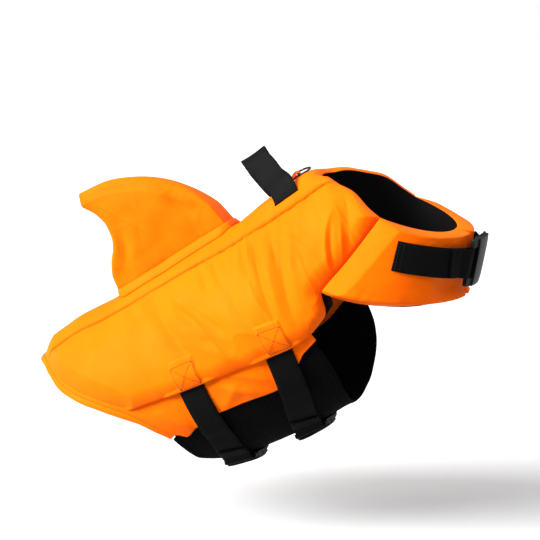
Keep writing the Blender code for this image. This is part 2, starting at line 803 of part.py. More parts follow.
def ribbon(points, across, width, thickness):
    """Points and faces of webbing carried along a line of points, flat to the across direction."""
    tangent = unit(np.gradient(points, axis=0))
    across = unit(across - (across * tangent).sum(-1, keepdims=True) * tangent)
    normal = np.cross(tangent, across)
    corners = [
        points + sign_a * across * width / 2 + sign_n * normal * thickness / 2
        for sign_a, sign_n in ((-1, -1), (1, -1), (1, 1), (-1, 1))
    ]
    ring = np.stack(corners, axis=1)
    count = len(points)
    index = np.arange(count * 4).reshape(count, 4)
    after = np.roll(index, -1, axis=1)
    sides = np.stack([index[:-1], after[:-1], after[1:], index[1:]], -1).reshape(-1, 4)
    faces = sides.tolist() + [index[0][::-1].tolist(), index[-1].tolist()]
    return ring.reshape(-1, 3), faces


def handle_line():
    """Centre line of the handle, from its right foot over the arch to its left foot."""
    lift = SEAM_GAP + WEBBING / 2
    rows = np.asarray(HANDLE_ARCH, float)
    numbered = np.column_stack([np.arange(len(rows)), rows])
    row = np.linspace(0, len(rows) - 1, 19)
    side, rise, along = (column(numbered, row, k) for k in (1, 2, 3))
    crown = column(TRUNK, along, 1) + FOAM_OUTSIDE
    arch = pitched(along, side, crown + rise)
    feet = []
    for foot_along, sign in ((rows[0, 2] + 0.5, 1), (rows[-1, 2], -1)):
        angle = np.linspace(*HANDLE_FOOT_ANGLES, 3) * sign
        place = np.full(3, foot_along)
        feet.append(over_trunk(place, angle, strip_height(place, angle) + lift))
    return np.concatenate([feet[0], arch, feet[1][::-1]])


def add_handle():
    points = handle_line()
    ahead = unit(pitched(HOLD_ALONG + 1.0, 0.0, 0.0) - pitched(HOLD_ALONG, 0.0, 0.0))
    made = ribbon(points, np.broadcast_to(ahead, points.shape), HANDLE_WIDTH, WEBBING)
    add_object("handle", *made, BLACK_WEB)


def ring_frame():
    """Centre of the ring's bar, and the tab's forward, sideways and upward directions."""
    rear, front = over_strip([RING_ALONG - 8.0, RING_ALONG + 2.0], 0.0, 0.0)
    straight, left = unit(front - rear), np.array([0.0, 1.0, 0.0])
    up = np.cross(straight, left)
    yaw = math.radians(TAB_YAW)
    forward = math.cos(yaw) * straight + math.sin(yaw) * left
    return rear + straight * 8.0 + up * BAR_HEIGHT, forward, np.cross(up, forward), up


def rolled(side, up, share):
    """The sideways and upward directions turned by a share of the tab's roll, to face the right."""
    roll = math.radians(TAB_ROLL) * np.asarray(share)[..., None]
    return np.cos(roll) * side + np.sin(roll) * up, np.cos(roll) * up - np.sin(roll) * side


def add_ring_tab():
    """A folded tab: flat where it is sewn down, and rolled where its loop holds the ring's bar."""
    bar, forward, side, up = ring_frame()
    loop = TAB_HOLE + TAB_PLY
    turn = np.radians(np.linspace(-90, 90, 9))
    tail = np.array([-TAB_LENGTH, -14.0, -10.0, -6.5])
    low, high = [np.full(4, loop * sign) for sign in (-1, 1)]
    high[:3] = -loop + 2 * TAB_PLY
    high[3] = 0.35 * loop
    ahead = np.concatenate([tail, loop * np.cos(turn), tail[::-1]])
    height = np.concatenate([low, loop * np.sin(turn), high[::-1]])
    heading = np.radians([-176, -160, -140, -115, *np.degrees(turn), 115, 140, 160, 176])
    count = len(ahead)
    ahead = np.concatenate([ahead, TAB_HOLE * np.cos(heading)])
    height = np.concatenate([height, TAB_HOLE * np.sin(heading)])
    share = step_up(ahead, -14.0, -4.0)
    across, upwards = rolled(side, up, share)
    yaw = math.radians(TAB_YAW)
    sides = []
    for half in (-TAB_HALF_WIDTH, TAB_HALF_WIDTH):
        in_loop = bar + ahead[:, None] * forward + height[:, None] * upwards + half * across
        along = RING_ALONG + ahead * math.cos(yaw) - half * math.sin(yaw)
        left = ahead * math.sin(yaw) + half * math.cos(yaw)
        sewn = over_strip(along, left, height + loop + SEAM_GAP)
        sides.append(sewn + share[:, None] * (in_loop - sewn))
    points = np.concatenate(sides)
    step = np.arange(count)
    after = (step + 1) % count
    far = 2 * count
    near_face = np.stack([step, after, after + count, step + count], -1)
    outside = np.stack([step, after, after + far, step + far], -1)
    hole = np.stack([after, step, step + far, after + far], -1) + count
    faces = np.concatenate([near_face[:, ::-1], near_face + far, outside, hole])
    add_object("ring_tab", points, faces.tolist(), ORANGE)


def add_leash_ring():
    """A D ring: a straight bar across, and half an ellipse ahead of it."""
    bar, forward, side, up = ring_frame()
    side, up = rolled(side, up, 1.0)
    tilt = math.radians(RING_TILT)
    ahead = math.cos(tilt) * forward + math.sin(tilt) * up
    flat_end = RING_HALF_WIDTH - RING_CORNER
    straight = np.linspace(-flat_end, flat_end, 4)
    bend = np.radians(np.linspace(-90, 0, 4))[1:]
    bow = np.radians(np.linspace(0, 180, 15))[1:]
    bend_ahead = RING_CORNER * (1 + np.sin(bend))
    bend_side = flat_end + RING_CORNER * np.cos(bend)
    bow_ahead = RING_CORNER + (RING_REACH - RING_CORNER) * np.sin(bow)
    flat_ahead = np.concatenate([0 * straight, bend_ahead, bow_ahead, bend_ahead[-2::-1]])
    bow_side = RING_HALF_WIDTH * np.cos(bow)
    flat_side = np.concatenate([straight, bend_side, bow_side, -bend_side[-2::-1]])
    centre = flat_ahead[:, None] * ahead + flat_side[:, None] * side
    tangent = unit(np.roll(centre, -1, axis=0) - np.roll(centre, 1, axis=0))
    lift = np.cross(ahead, side)
    outward = np.cross(tangent, lift)[:, None, :]
    turn = np.radians(np.arange(0, 360, 45.0))[None, :, None]
    ring = centre[:, None, :] + RING_WIRE * (np.cos(turn) * outward + np.sin(turn) * lift)
    index = np.arange(ring[..., 0].size).reshape(ring.shape[:2])
    next_row, next_side = np.roll(index, -1, axis=0), np.roll(index, -1, axis=1)
    next_both = np.roll(next_row, -1, axis=1)
    faces = np.stack([index, next_side, next_both, next_row], -1).reshape(-1, 4).tolist()
    add_object("leash_ring", ring.reshape(-1, 3) + bar, faces, DARK_METAL, origin=bar)


# ---- Straps and buckles --------------------------------------------------------------------------


def make_track(centre, normal, mouth):
    """A strap's course: its centre on the trunk or chest, with 0 at the point nearest the mouth."""
    length = np.concatenate([[0], np.cumsum(np.linalg.norm(np.diff(centre, axis=0), axis=1))])
    zero = length[np.argmin(np.linalg.norm(centre - mouth, axis=1))]
    tangent = unit(np.gradient(centre, axis=0))
    normal = unit(normal - (normal * tangent).sum(-1, keepdims=True) * tangent)
    return Track(length - zero, centre, np.cross(normal, tangent), normal)


def on_track(track, along, across, up):
    """Points at distances along a track, to its side and over it."""
    places = (np.asarray(value, float) for value in (along, across, up))
    along, across, up = np.broadcast_arrays(*places)

    def at(vectors):
        return np.stack([np.interp(along, track.stations, vectors[:, k]) for k in range(3)], axis=-1)

    return at(track.centre) + across[..., None] * at(track.across) + up[..., None] * at(track.normal)


def across_track(track, along):
    return unit(on_track(track, along, 1.0, 0.0) - on_track(track, along, 0.0, 0.0))


def belly_track(number):
    """Course of a belly strap from the right side panel under the belly to the left one."""
    right = np.linspace(80, 180, 101)
    angle = np.concatenate([right, 360 - right[-2::-1]])
    along = column(BELLY_STRAPS, np.minimum(angle, 360 - angle), number)
    mouth = trunk(column(BELLY_STRAPS, 360 - BELLY_MOUTH_ANGLE, number), BELLY_MOUTH_ANGLE)
    return make_track(trunk(along, angle), trunk_normal(along, angle), mouth), angle


def chest_track():
    """Course of the chest strap, on the chest panels, standing off at the top under its buckle."""
    right = np.linspace(0.2, 1, 100)
    down = column(CHEST_STRAP, right, 1)
    points, normals = over_chest(down, right, CHEST_OUTSIDE), chest_normal(down, right)
    centre = np.concatenate([points, mirrored(points[-2::-1])])
    normal = np.concatenate([normals, mirrored(normals[-2::-1])])
    off_mouth = np.abs(centre[:, 1] - CHEST_MOUTH_LEFT)
    flat = make_track(centre, normal, centre[np.argmin(off_mouth)])
    middle = (PLUG_LENGTH - SOCKET_LENGTH) / 2
    share = step_up(np.abs(flat.stations - middle), 52, 26)[:, None]
    roll = math.radians(CHEST_BUCKLE_ROLL) * share
    across = np.cos(roll) * flat.across + np.sin(roll) * flat.normal
    normal = np.cos(roll) * flat.normal - np.sin(roll) * flat.across
    centre = flat.centre + CHEST_BUCKLE_LIFT * share * flat.normal
    return Track(flat.stations, centre, across, normal)


def strap_end_loop(bar_centre, outwards, ground):
    """along and up of webbing that comes in low, turns up round a bar and lies back on itself.

    outwards is the sign of the way back along the strap, away from the buckle.
    """
    turn = np.radians(np.linspace(-90, 90, 9))
    along = bar_centre - outwards * LOOP_RADIUS * np.cos(turn)
    up = LOOP_CENTRE_UP + LOOP_RADIUS * np.sin(turn)
    low = STRAP_CLEAR + WEBBING / 2
    back = np.array([3.0, 8.0, 12.5, LOOP_OVERLAP])
    back_up = np.array([up[-1], low + 3.6, low + WEBBING + 0.4, low + WEBBING + 0.4])
    along = np.concatenate([along, bar_centre + outwards * back])
    return along, ground + np.concatenate([up, back_up])


def add_strap(name, track, start, height_at, bar_centre, outwards, ground):
    """One strap from its sewn end to the loop round a buckle's bar."""
    run_end = bar_centre + outwards * 1.5
    steps = max(4, int(abs(start - run_end) / 7))
    run = np.linspace(start, run_end, steps)
    loop_along, loop_up = strap_end_loop(bar_centre, outwards, ground)
    along = np.concatenate([run, loop_along])
    up = np.concatenate([height_at(run), loop_up])
    points = on_track(track, along, 0.0, up)
    add_object(name, *ribbon(points, across_track(track, along), WEBBING_WIDTH, WEBBING), BLACK_WEB)


def blocks(along, across, up, filled):
    """Points and faces of the body made of the filled cells of a grid of cuts."""
    shape = (len(along), len(across), len(up))
    index = np.arange(np.prod(shape)).reshape(shape)
    padded = np.pad(filled, 1)
    core = (slice(1, -1),) * 3
    faces = []
    for axis in range(3):
        for side in (0, 1):
            beside = np.roll(padded, 1 - 2 * side, axis=axis)[core]
            cells = np.argwhere(filled & ~beside)
            first, second = [k for k in range(3) if k != axis]
            corner = cells.copy()
            corner[:, axis] += side
            ring = []
            for add_first, add_second in ((0, 0), (1, 0), (1, 1), (0, 1)):
                moved = corner.copy()
                moved[:, first] += add_first
                moved[:, second] += add_second
                ring.append(index[tuple(moved.T)])
            quads = np.stack(ring, -1)
            turned = (side == 1) ^ (axis == 1)
            faces.append(quads if turned else quads[:, ::-1])
    faces = np.concatenate(faces)
    used, faces = np.unique(faces, return_inverse=True)
    grid = np.stack(np.meshgrid(along, across, up, indexing="ij"), axis=-1).reshape(-1, 3)
    return grid[used], faces.reshape(-1, 4).tolist()


def rounded(points, half, middle_up):
    """Points of a buckle half made thinner towards its sides."""
    points = points.copy()
    out = np.clip(np.abs(points[:, 1]) / half, 0, 1)
    points[:, 2] = middle_up + (points[:, 2] - middle_up) * (1 - 0.25 * out**4)
    return points


def cell_mask(cuts, boxes):
    """Cells whose centres lie in any of the boxes ((start, end), (inside, outside), (low, high)).

    inside and outside are distances to both sides of the middle.
    """
    middles = [(values[:-1] + values[1:]) / 2 for values in cuts]
    a, b, c = np.meshgrid(*middles, indexing="ij")
    mask = np.zeros(a.shape, bool)
    for (start, end), (near, far), (low, high) in boxes:
        in_side = (np.abs(b) > near) & (np.abs(b) < far)
        mask |= (a > start) & (a < end) & in_side & (c > low) & (c < high)
    return mask


def socket_boxes(half):
    """Socket: a hollow body with a window in each side, and a frame with a bar for the webbing."""
    start = -SOCKET_LENGTH
    body = (
        ((start, start + BAR_LENGTH), (-1, half), BAR_UP),
        ((start, -21.5), (SLOT_HALF, half), CAVITY_UP),
        ((-21.5, 0), (-1, half), SOCKET_UP),
    )
    cavity = (
        ((-17.5, 0), (-1, half - 3.0), CAVITY_UP),
        ((-13, -6), (half - 3.5, half), CAVITY_UP),
    )
    return body, cavity


def plug_boxes(half):
    """Plug: a shoulder with a guide, two prongs with thumb pads, and a frame with a bar."""
    body = (
        ((1.0, 7.5), (-1, half - 0.5), PLUG_UP),
        ((-15.5, 1.0), (half - 7.6, half - 3.5), PRONG_UP),
        ((-12.5, -6.5), (half - 3.5, half - 0.3), PRONG_UP),
        ((-12.5, 1.0), (-1, 2.4), PRONG_UP),
        ((7.5, PLUG_LENGTH), (SLOT_HALF, half - 0.5), BAR_UP),
        ((PLUG_LENGTH - BAR_LENGTH, PLUG_LENGTH), (-1, SLOT_HALF + 0.1), BAR_UP),
    )
    return body, ()


def cuts_of(boxes, finest):
    """Sorted cuts along, across and up that hold every box face, none further apart than finest."""
    cuts = []
    for axis in range(3):
        values = {value for box in boxes for value in box[axis] if value >= 0 or axis != 1}
        if axis == 1:
            values |= {-value for value in values}
        values = sorted(values)
        filled = [values[0]]
        for value in values[1:]:
            steps = max(1, math.ceil((value - filled[-1]) / finest))
            filled += np.linspace(filled[-1], value, steps + 1)[1:].tolist()
        cuts.append(np.array(filled))
    return cuts


def add_buckle_half(name, track, ground, buckle, boxes):
    """One half of a buckle, bent along its track."""
    body, holes = boxes
    cuts = cuts_of(body + holes, 12.0)
    points, faces = blocks(*cuts, cell_mask(cuts, body) & ~cell_mask(cuts, holes))
    points = rounded(points, buckle.half, sum(CAVITY_UP) / 2)
    placed = on_track(track, points[:, 0] * buckle.length, points[:, 1], points[:, 2] + ground)
    add_object(name, placed, faces, DARK_PLASTIC)


def add_buckle(name, track, ground, buckle):
    add_buckle_half(f"{name}_socket", track, ground, buckle, socket_boxes(buckle.half))
    add_buckle_half(f"{name}_plug", track, ground, buckle, plug_boxes(buckle.half))


BELLY_BUCKLE = Buckle(half=16.8, length=0.8)
CHEST_BUCKLE = Buckle(half=22.5, length=1.0)
SOCKET_BAR = -SOCKET_LENGTH + BAR_LENGTH / 2
PLUG_BAR = PLUG_LENGTH - BAR_LENGTH / 2


def add_belly_straps(place, number):
    track, angle = belly_track(number)
    ground = MESH_LAYER[1]
    low = ground + STRAP_CLEAR + WEBBING / 2

    def height_at(along):
        here = np.interp(along, track.stations, angle)
        folded = np.minimum(here, 360 - here)
        on_flap = step_up(folded, STRAP_REACHES_MESH, STRAP_LEAVES_FLAP)
        return low + (STRAP_OVER_FLAP - low) * on_flap

    pocket_angle = column(LOWER_EDGE, column(BELLY_STRAPS, STRAP_LEAVES_POCKET, number), 1)
    tuck_angle = pocket_angle - STRAP_TUCK / FOLD_ANGLE_SCALE
    right_start = np.interp(tuck_angle, angle, track.stations)
    left_start = np.interp(360 - tuck_angle, angle, track.stations)
    socket_bar, plug_bar = (bar * BELLY_BUCKLE.length for bar in (SOCKET_BAR, PLUG_BAR))
    add_strap(f"belly_strap_{place}_right", track, right_start, height_at, socket_bar, -1, ground)
    add_strap(f"belly_strap_{place}_left", track, left_start, height_at, plug_bar, 1, ground)
    add_buckle(f"belly_buckle_{place}", track, ground, BELLY_BUCKLE)


def add_chest_straps():
    track = chest_track()

    def height_at(along):
        return np.full(np.shape(along), STRAP_CLEAR + WEBBING / 2)

    ends = over_chest(column(CHEST_STRAP, CHEST_STRAP_END, 1), CHEST_STRAP_END, CHEST_OUTSIDE)
    right_start = track.stations[np.argmin(np.linalg.norm(track.centre - ends, axis=1))]
    left_start = track.stations[np.argmin(np.linalg.norm(track.centre - mirrored(ends), axis=1))]
    add_strap("chest_strap_right", track, right_start, height_at, SOCKET_BAR, -1, 0.0)
    add_strap("chest_strap_left", track, left_start, height_at, PLUG_BAR, 1, 0.0)
    add_buckle("chest_buckle", track, 0.0, CHEST_BUCKLE)


def main():
    for existing in list(bpy.data.objects):
        bpy.data.objects.remove(existing)
    add_spine_strip()
    for side, folds, left in (("right", FOLDS_RIGHT, False), ("left", FOLDS_LEFT, True)):
        add_side_panel(f"side_panel_{side}", folds, left)
        add_rear_hem(f"rear_hem_{side}", left)
        add_lower_flap(f"lower_flap_{side}", left)
        add_armhole_lining(f"armhole_lining_{side}", left)
        add_chest_panel(f"chest_panel_{side}", left)
        add_chest_lining(f"chest_lining_{side}", left)
    add_belly_panel()
    add_fin_base()
    add_fin()
    add_handle()
    add_ring_tab()
    add_leash_ring()
    for place, number in (("rear", 1), ("front", 2)):
        add_belly_straps(place, number)
    add_chest_straps()


main()
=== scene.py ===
"""Looks of a dog life jacket: padded cloth panels, stuffed fin, mesh, webbing, buckles and sewing.

Every piece is dressed on the form of its solid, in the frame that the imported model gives. Tables and
sizes are in millimetres and degrees, with their columns named beside them. A place on the jacket is
a distance along the spine and an angle round the trunk, 0 on the spine and 180 on the belly.
"""

import logging
import math
from abc import ABC, abstractmethod
from dataclasses import dataclass, field
from enum import Enum

import bmesh
import bpy
import numpy as np
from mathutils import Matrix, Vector

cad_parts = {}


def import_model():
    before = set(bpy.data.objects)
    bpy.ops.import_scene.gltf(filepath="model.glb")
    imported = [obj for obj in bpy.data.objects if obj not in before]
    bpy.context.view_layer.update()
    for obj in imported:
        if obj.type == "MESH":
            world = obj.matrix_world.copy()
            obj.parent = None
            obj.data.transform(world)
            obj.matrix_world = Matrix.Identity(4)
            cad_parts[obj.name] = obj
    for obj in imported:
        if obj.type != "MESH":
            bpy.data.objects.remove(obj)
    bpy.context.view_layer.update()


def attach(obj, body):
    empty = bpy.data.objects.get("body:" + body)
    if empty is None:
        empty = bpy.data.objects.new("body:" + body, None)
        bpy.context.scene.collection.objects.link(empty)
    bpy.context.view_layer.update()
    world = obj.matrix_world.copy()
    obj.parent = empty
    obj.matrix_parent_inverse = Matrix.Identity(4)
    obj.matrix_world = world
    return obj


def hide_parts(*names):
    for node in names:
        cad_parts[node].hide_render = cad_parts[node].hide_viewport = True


Array = np.ndarray
Table = tuple[tuple[float, ...], ...]
Place = tuple[float, float]
Run = tuple[float, float, int]
# Points of a line on the cloth, and the directions out of the cloth at them.
Row = tuple[Array, Array]
Corner = tuple[float, float, float]
Boxes = tuple[tuple[Place, Place, Place], ...]
Colour = tuple[float, ...]
Material = bpy.types.Material
Piece = bpy.types.Object
Socket = bpy.types.NodeSocket
Node = bpy.types.Node

MM = 0.001
LOG = logging.getLogger("life_jacket")


# ---- Numbers and lines -------------------------------------------------------------------------


def read(table: Table | Array, place: Array, number: int) -> Array:
    """Value of a table's column, by a cubic between rows that doesn't overshoot them.

    Args:
        table: Rows with the place in column 0, rising.
        place: Where to read, held inside the table's range.
        number: Column to read.

    Returns:
        Values of the shape of place.
    """
    rows = np.asarray(table, float)
    xs, ys = rows[:, 0], rows[:, number]
    steps = np.diff(ys) / np.diff(xs)
    before, after = steps[:-1], steps[1:]
    same_way = before * after > 0
    mean = 2 * before * after / np.where(same_way, before + after, 1)
    slopes = np.concatenate([steps[:1], np.where(same_way, mean, 0), steps[-1:]])
    place = np.clip(place, xs[0], xs[-1])
    row = np.clip(np.searchsorted(xs, place, side="right") - 1, 0, len(xs) - 2)
    width = xs[row + 1] - xs[row]
    ends = (ys[row], width * slopes[row], ys[row + 1], width * slopes[row + 1])
    return cubic((place - xs[row]) / width, *ends)


def cubic(share: Array, start: Array, leave: Array, end: Array, arrive: Array) -> Array:
    """The cubic from start to end that leaves and arrives with the given slopes."""
    rest = 1 - share
    return (
        rest**2 * (1 + 2 * share) * start
        + share * rest**2 * leave
        + share**2 * (1 + 2 * rest) * end
        - share**2 * rest * arrive
    )


def ease(value: Array, start: float, end: float) -> Array:
    """0 at start and 1 at end, with the smooth step 3s^2 - 2s^3 between them."""
    share = np.clip((np.asarray(value, float) - start) / (end - start), 0, 1)
    return share * share * (3 - 2 * share)


def unit(vectors: Array) -> Array:
    """Vectors of length 1 in the same directions."""
    return vectors / np.maximum(np.linalg.norm(vectors, axis=-1, keepdims=True), 1e-12)


def spans(*runs: Run) -> Array:
    """Places from runs of (start, end, number of steps), each end shared with the next start."""
    parts = [np.linspace(start, end, steps, endpoint=False) for start, end, steps in runs]
    return np.concatenate([*parts, [runs[-1][1]]])


def nearest(points: Array, line: Array) -> tuple[Array, Array]:
    """How far points lie from a line, and at which share of it.

    Args:
        points: Points, with their coordinates in the last axis.
        line: Points of the line, in order.

    Returns:
        Shortest distances, and the share of the line's segments passed at the nearest place.
    """
    starts, steps = line[:-1], np.diff(line, axis=0)
    flat = points.reshape(-1, points.shape[-1])
    from_start = flat[:, None, :] - starts
    share = np.clip((from_start * steps).sum(-1) / (steps**2).sum(-1), 0, 1)
    distance = np.linalg.norm(from_start - share[..., None] * steps, axis=-1)
    closest = distance.argmin(-1)
    row = np.arange(len(flat))
    passed = (closest + share[row, closest]) / len(steps)
    shape = points.shape[:-1]
    return distance[row, closest].reshape(shape), passed.reshape(shape)


def with_row_numbers(table: Table) -> Array:
    """A table with the number of each row as a new column 0."""
    return np.column_stack([np.arange(len(table)), table])


def lengths(line: Array) -> Array:
    """Distance along a line of points to each of its points."""
    return np.concatenate([[0], np.cumsum(np.linalg.norm(np.diff(line, axis=0), axis=1))])


def even(line: Array, step: float) -> Array:
    """The same line with its points about one step apart."""
    length = lengths(line)
    count = max(3, int(round(length[-1] / step)) + 1)
    at = np.linspace(0, length[-1], count)
    return np.stack([np.interp(at, length, line[:, k]) for k in range(line.shape[1])], -1)


def softened(line: Array, times: int) -> Array:
    """A line whose inner points have been moved, some times, to the 1-2-1 mean of their neighbours."""
    line = line.copy()
    for _ in range(times):
        line[1:-1] = (line[:-2] + 2 * line[1:-1] + line[2:]) / 4
    return line


def waves(place: Array, length: float, seed: int, count: int = 7) -> Array:
    """Soft uneven swells: the mean of plane sine waves of nearly one length in all directions.

    Args:
        place: Places in millimetres, with two or three coordinates in the last axis.
        length: Wave length in millimetres.
        seed: Number that fixes the directions and phases.
        count: How many waves are summed.

    Returns:
        Heights between -1 and 1.
    """
    chance = np.random.default_rng(seed)
    total = np.zeros(place.shape[:-1])
    for _ in range(count):
        way = unit(chance.normal(size=place.shape[-1]))
        own_length, phase = length * chance.uniform(0.75, 1.35), chance.uniform(0, 6.3)
        total += np.sin(place @ way * 2 * math.pi / own_length + phase)
    return total / count**0.5 / 1.6


# ---- Meshes ------------------------------------------------------------------------------------


@dataclass
class Skin:
    """Faces over points in millimetres, with each point's place on the cloth in metres."""

    points: Array
    faces: Array
    cloth: Array
    finish: Array

    def __add__(self, other: "Skin") -> "Skin":
        """Both skins as one."""
        return Skin(
            np.concatenate([self.points, other.points]),
            np.concatenate([self.faces, other.faces + len(self.points)]),
            np.concatenate([self.cloth, other.cloth]),
            np.concatenate([self.finish, other.finish]),
        )

    def mirrored(self) -> "Skin":
        """The same skin on the other side of the jacket."""
        return Skin(self.points * np.array([1.0, -1.0, 1.0]), self.faces[:, ::-1], self.cloth, self.finish)

    def facing_out(self) -> "Skin":
        """The skin turned, if need be, so that the volume it closes is positive."""
        corners = [self.points[self.faces[:, k]] for k in range(self.faces.shape[1])]
        fans = zip(corners[1:-1], corners[2:])
        volume = sum((corners[0] * np.cross(second, third)).sum() for second, third in fans)
        return self if volume > 0 else Skin(self.points, self.faces[:, ::-1], self.cloth, self.finish)


def grid_quads(index: Array) -> Array:
    """Quads between the neighbours of a grid of point numbers."""
    corners = [index[:-1, :-1], index[1:, :-1], index[1:, 1:], index[:-1, 1:]]
    return np.stack(corners, -1).reshape(-1, 4)


def slab(outer: Array, inner: Array, across: Array, inside_finish: int = 0) -> Skin:
    """The closed body between two grids of the same size.

    Args:
        outer: Grid of points of the outer face.
        inner: Grid of points of the inner face.
        across: Grid of places on the cloth, in millimetres.
        inside_finish: Number of the finish that the inner face wears.

    Returns:
        Its skin, whose outer face and rim wear finish 0.
    """
    rows, columns = outer.shape[:2]
    shift = rows * columns
    low = np.arange(shift).reshape(rows, columns)
    rim = np.concatenate([low[0, :], low[1:, -1], low[-1, -2::-1], low[-2:0:-1, 0]])
    after = np.roll(rim, -1)
    wall = np.stack([after, rim, rim + shift, after + shift], -1)
    inside = grid_quads(low)[:, ::-1]
    quads = np.concatenate([inside, grid_quads(low + shift), wall])
    finish = np.zeros(len(quads), int)
    finish[: len(inside)] = inside_finish
    place = across.reshape(-1, 2) * MM
    points = np.concatenate([inner.reshape(-1, 3), outer.reshape(-1, 3)])
    return Skin(points, quads, np.concatenate([place, place]), finish).facing_out()


def capped(count: int, around: int, closed: bool = False) -> Array:
    """Quads of a tube's wall over numbered rings, and of its flat ends unless it is closed."""
    index = np.arange(count * around).reshape(count, around)
    walk = np.concatenate([index, index[:1]]) if closed else index
    quads = [grid_quads(np.concatenate([walk, walk[:, :1]], axis=1))]
    if not closed:
        step = np.arange(around // 2 - 1)
        pairs = np.stack([step, step + 1, around - 2 - step, around - 1 - step], -1)
        quads += [index[0][pairs], index[-1][pairs][:, ::-1]]
    return np.concatenate(quads)


def tube(rings: Array, cloth: Array, closed: bool = False) -> Skin:
    """A skin over rings of points, closed at its ends or joined end to end.

    Args:
        rings: Points as (ring, place in ring, coordinate), with an even number in each ring.
        cloth: Places on the cloth in millimetres, as (ring, place in ring, 2).
        closed: True where the last ring meets the first.

    Returns:
        The skin, with flat ends of quads between the points that face each other.
    """
    quads = capped(*rings.shape[:2], closed)
    place = cloth.reshape(-1, 2) * MM
    return Skin(rings.reshape(-1, 3), quads, place, np.zeros(len(quads), int)).facing_out()


def linked(name: str, data: bpy.types.ID) -> Piece:
    """A new object of some data, in the scene."""
    made = bpy.data.objects.new(name, data)
    bpy.context.scene.collection.objects.link(made)
    return made


def place_piece(name: str, skin: Skin, materials: list[Material], body: str = "jacket") -> Piece:
    """Makes an object from a skin and lets it ride on a body of the model.

    Args:
        name: Object name.
        skin: Its points, quads and places on the cloth.
        materials: Materials by finish number.
        body: Body that it moves with.

    Returns:
        The new object, at the origin.
    """
    mesh = bpy.data.meshes.new(name)
    mesh.from_pydata((skin.points * MM).tolist(), [], skin.faces.tolist())
    corner = np.zeros(len(mesh.loops), np.int32)
    mesh.loops.foreach_get("vertex_index", corner)
    layer = mesh.uv_layers.new(name="cloth")
    layer.data.foreach_set("uv", skin.cloth[corner].astype(np.float32).ravel())
    for material in materials:
        mesh.materials.append(material)
    mesh.polygons.foreach_set("material_index", skin.finish.astype(np.int32))
    mesh.shade_smooth()
    made = linked(name, mesh)
    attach(made, body)
    half_area = sum(face.area for face in mesh.polygons) / 2 / MM**2
    LOG.info("%s: %d faces, %.0f mm2 on one side", name, len(skin.faces), half_area)
    return made


# ---- Finishes ----------------------------------------------------------------------------------


class Graph:
    """Short ways to add and join shader nodes in one tree."""

    def __init__(self, tree: bpy.types.NodeTree) -> None:
        """Keeps the tree that the nodes go into."""
        self.tree = tree

    def node(self, kind: str, **settings: object) -> Node:
        """A new node with its settings."""
        made = self.tree.nodes.new(kind)
        for key, value in settings.items():
            setattr(made, key, value)
        return made

    def feed(self, socket: Socket, value: object) -> None:
        """Links a socket into another, or sets its value."""
        if isinstance(value, Socket):
            self.tree.links.new(value, socket)
        else:
            socket.default_value = value

    def settle(self, node: Node, values: dict[str, object]) -> None:
        """Links or sets some of a node's inputs, by their names."""
        for name, value in values.items():
            self.feed(node.inputs[name], value)

    def math(self, operation: str, first: object, second: object = 0.0) -> Socket:
        """Result of one Math node."""
        made = self.node("ShaderNodeMath", operation=operation)
        self.feed(made.inputs[0], first)
        self.feed(made.inputs[1], second)
        return made.outputs[0]

    def ramp(self, value: object, low: float, high: float, to_low: float, to_high: float) -> Socket:
        """A value carried from one range to another, held inside it."""
        made = self.node("ShaderNodeMapRange", interpolation_type="SMOOTHSTEP")
        limits = {"From Min": low, "From Max": high, "To Min": to_low, "To Max": to_high}
        self.settle(made, {"Value": value, **limits})
        return made.outputs["Result"]

    def mix(self, share: object, first: object, second: object) -> Socket:
        """Colour between two colours, by a share."""
        made = self.node("ShaderNodeMix", data_type="RGBA")
        self.feed(made.inputs[0], share)
        self.feed(made.inputs[6], first)
        self.feed(made.inputs[7], second)
        return made.outputs[2]


class Effect(Enum):
    """Surface effects that several finishes share, each a node group."""

    WEAVE = "plain_weave"
    RIBS = "webbing_ribs"
    NET = "mesh_holes"
    MOTTLE = "soft_mottle"


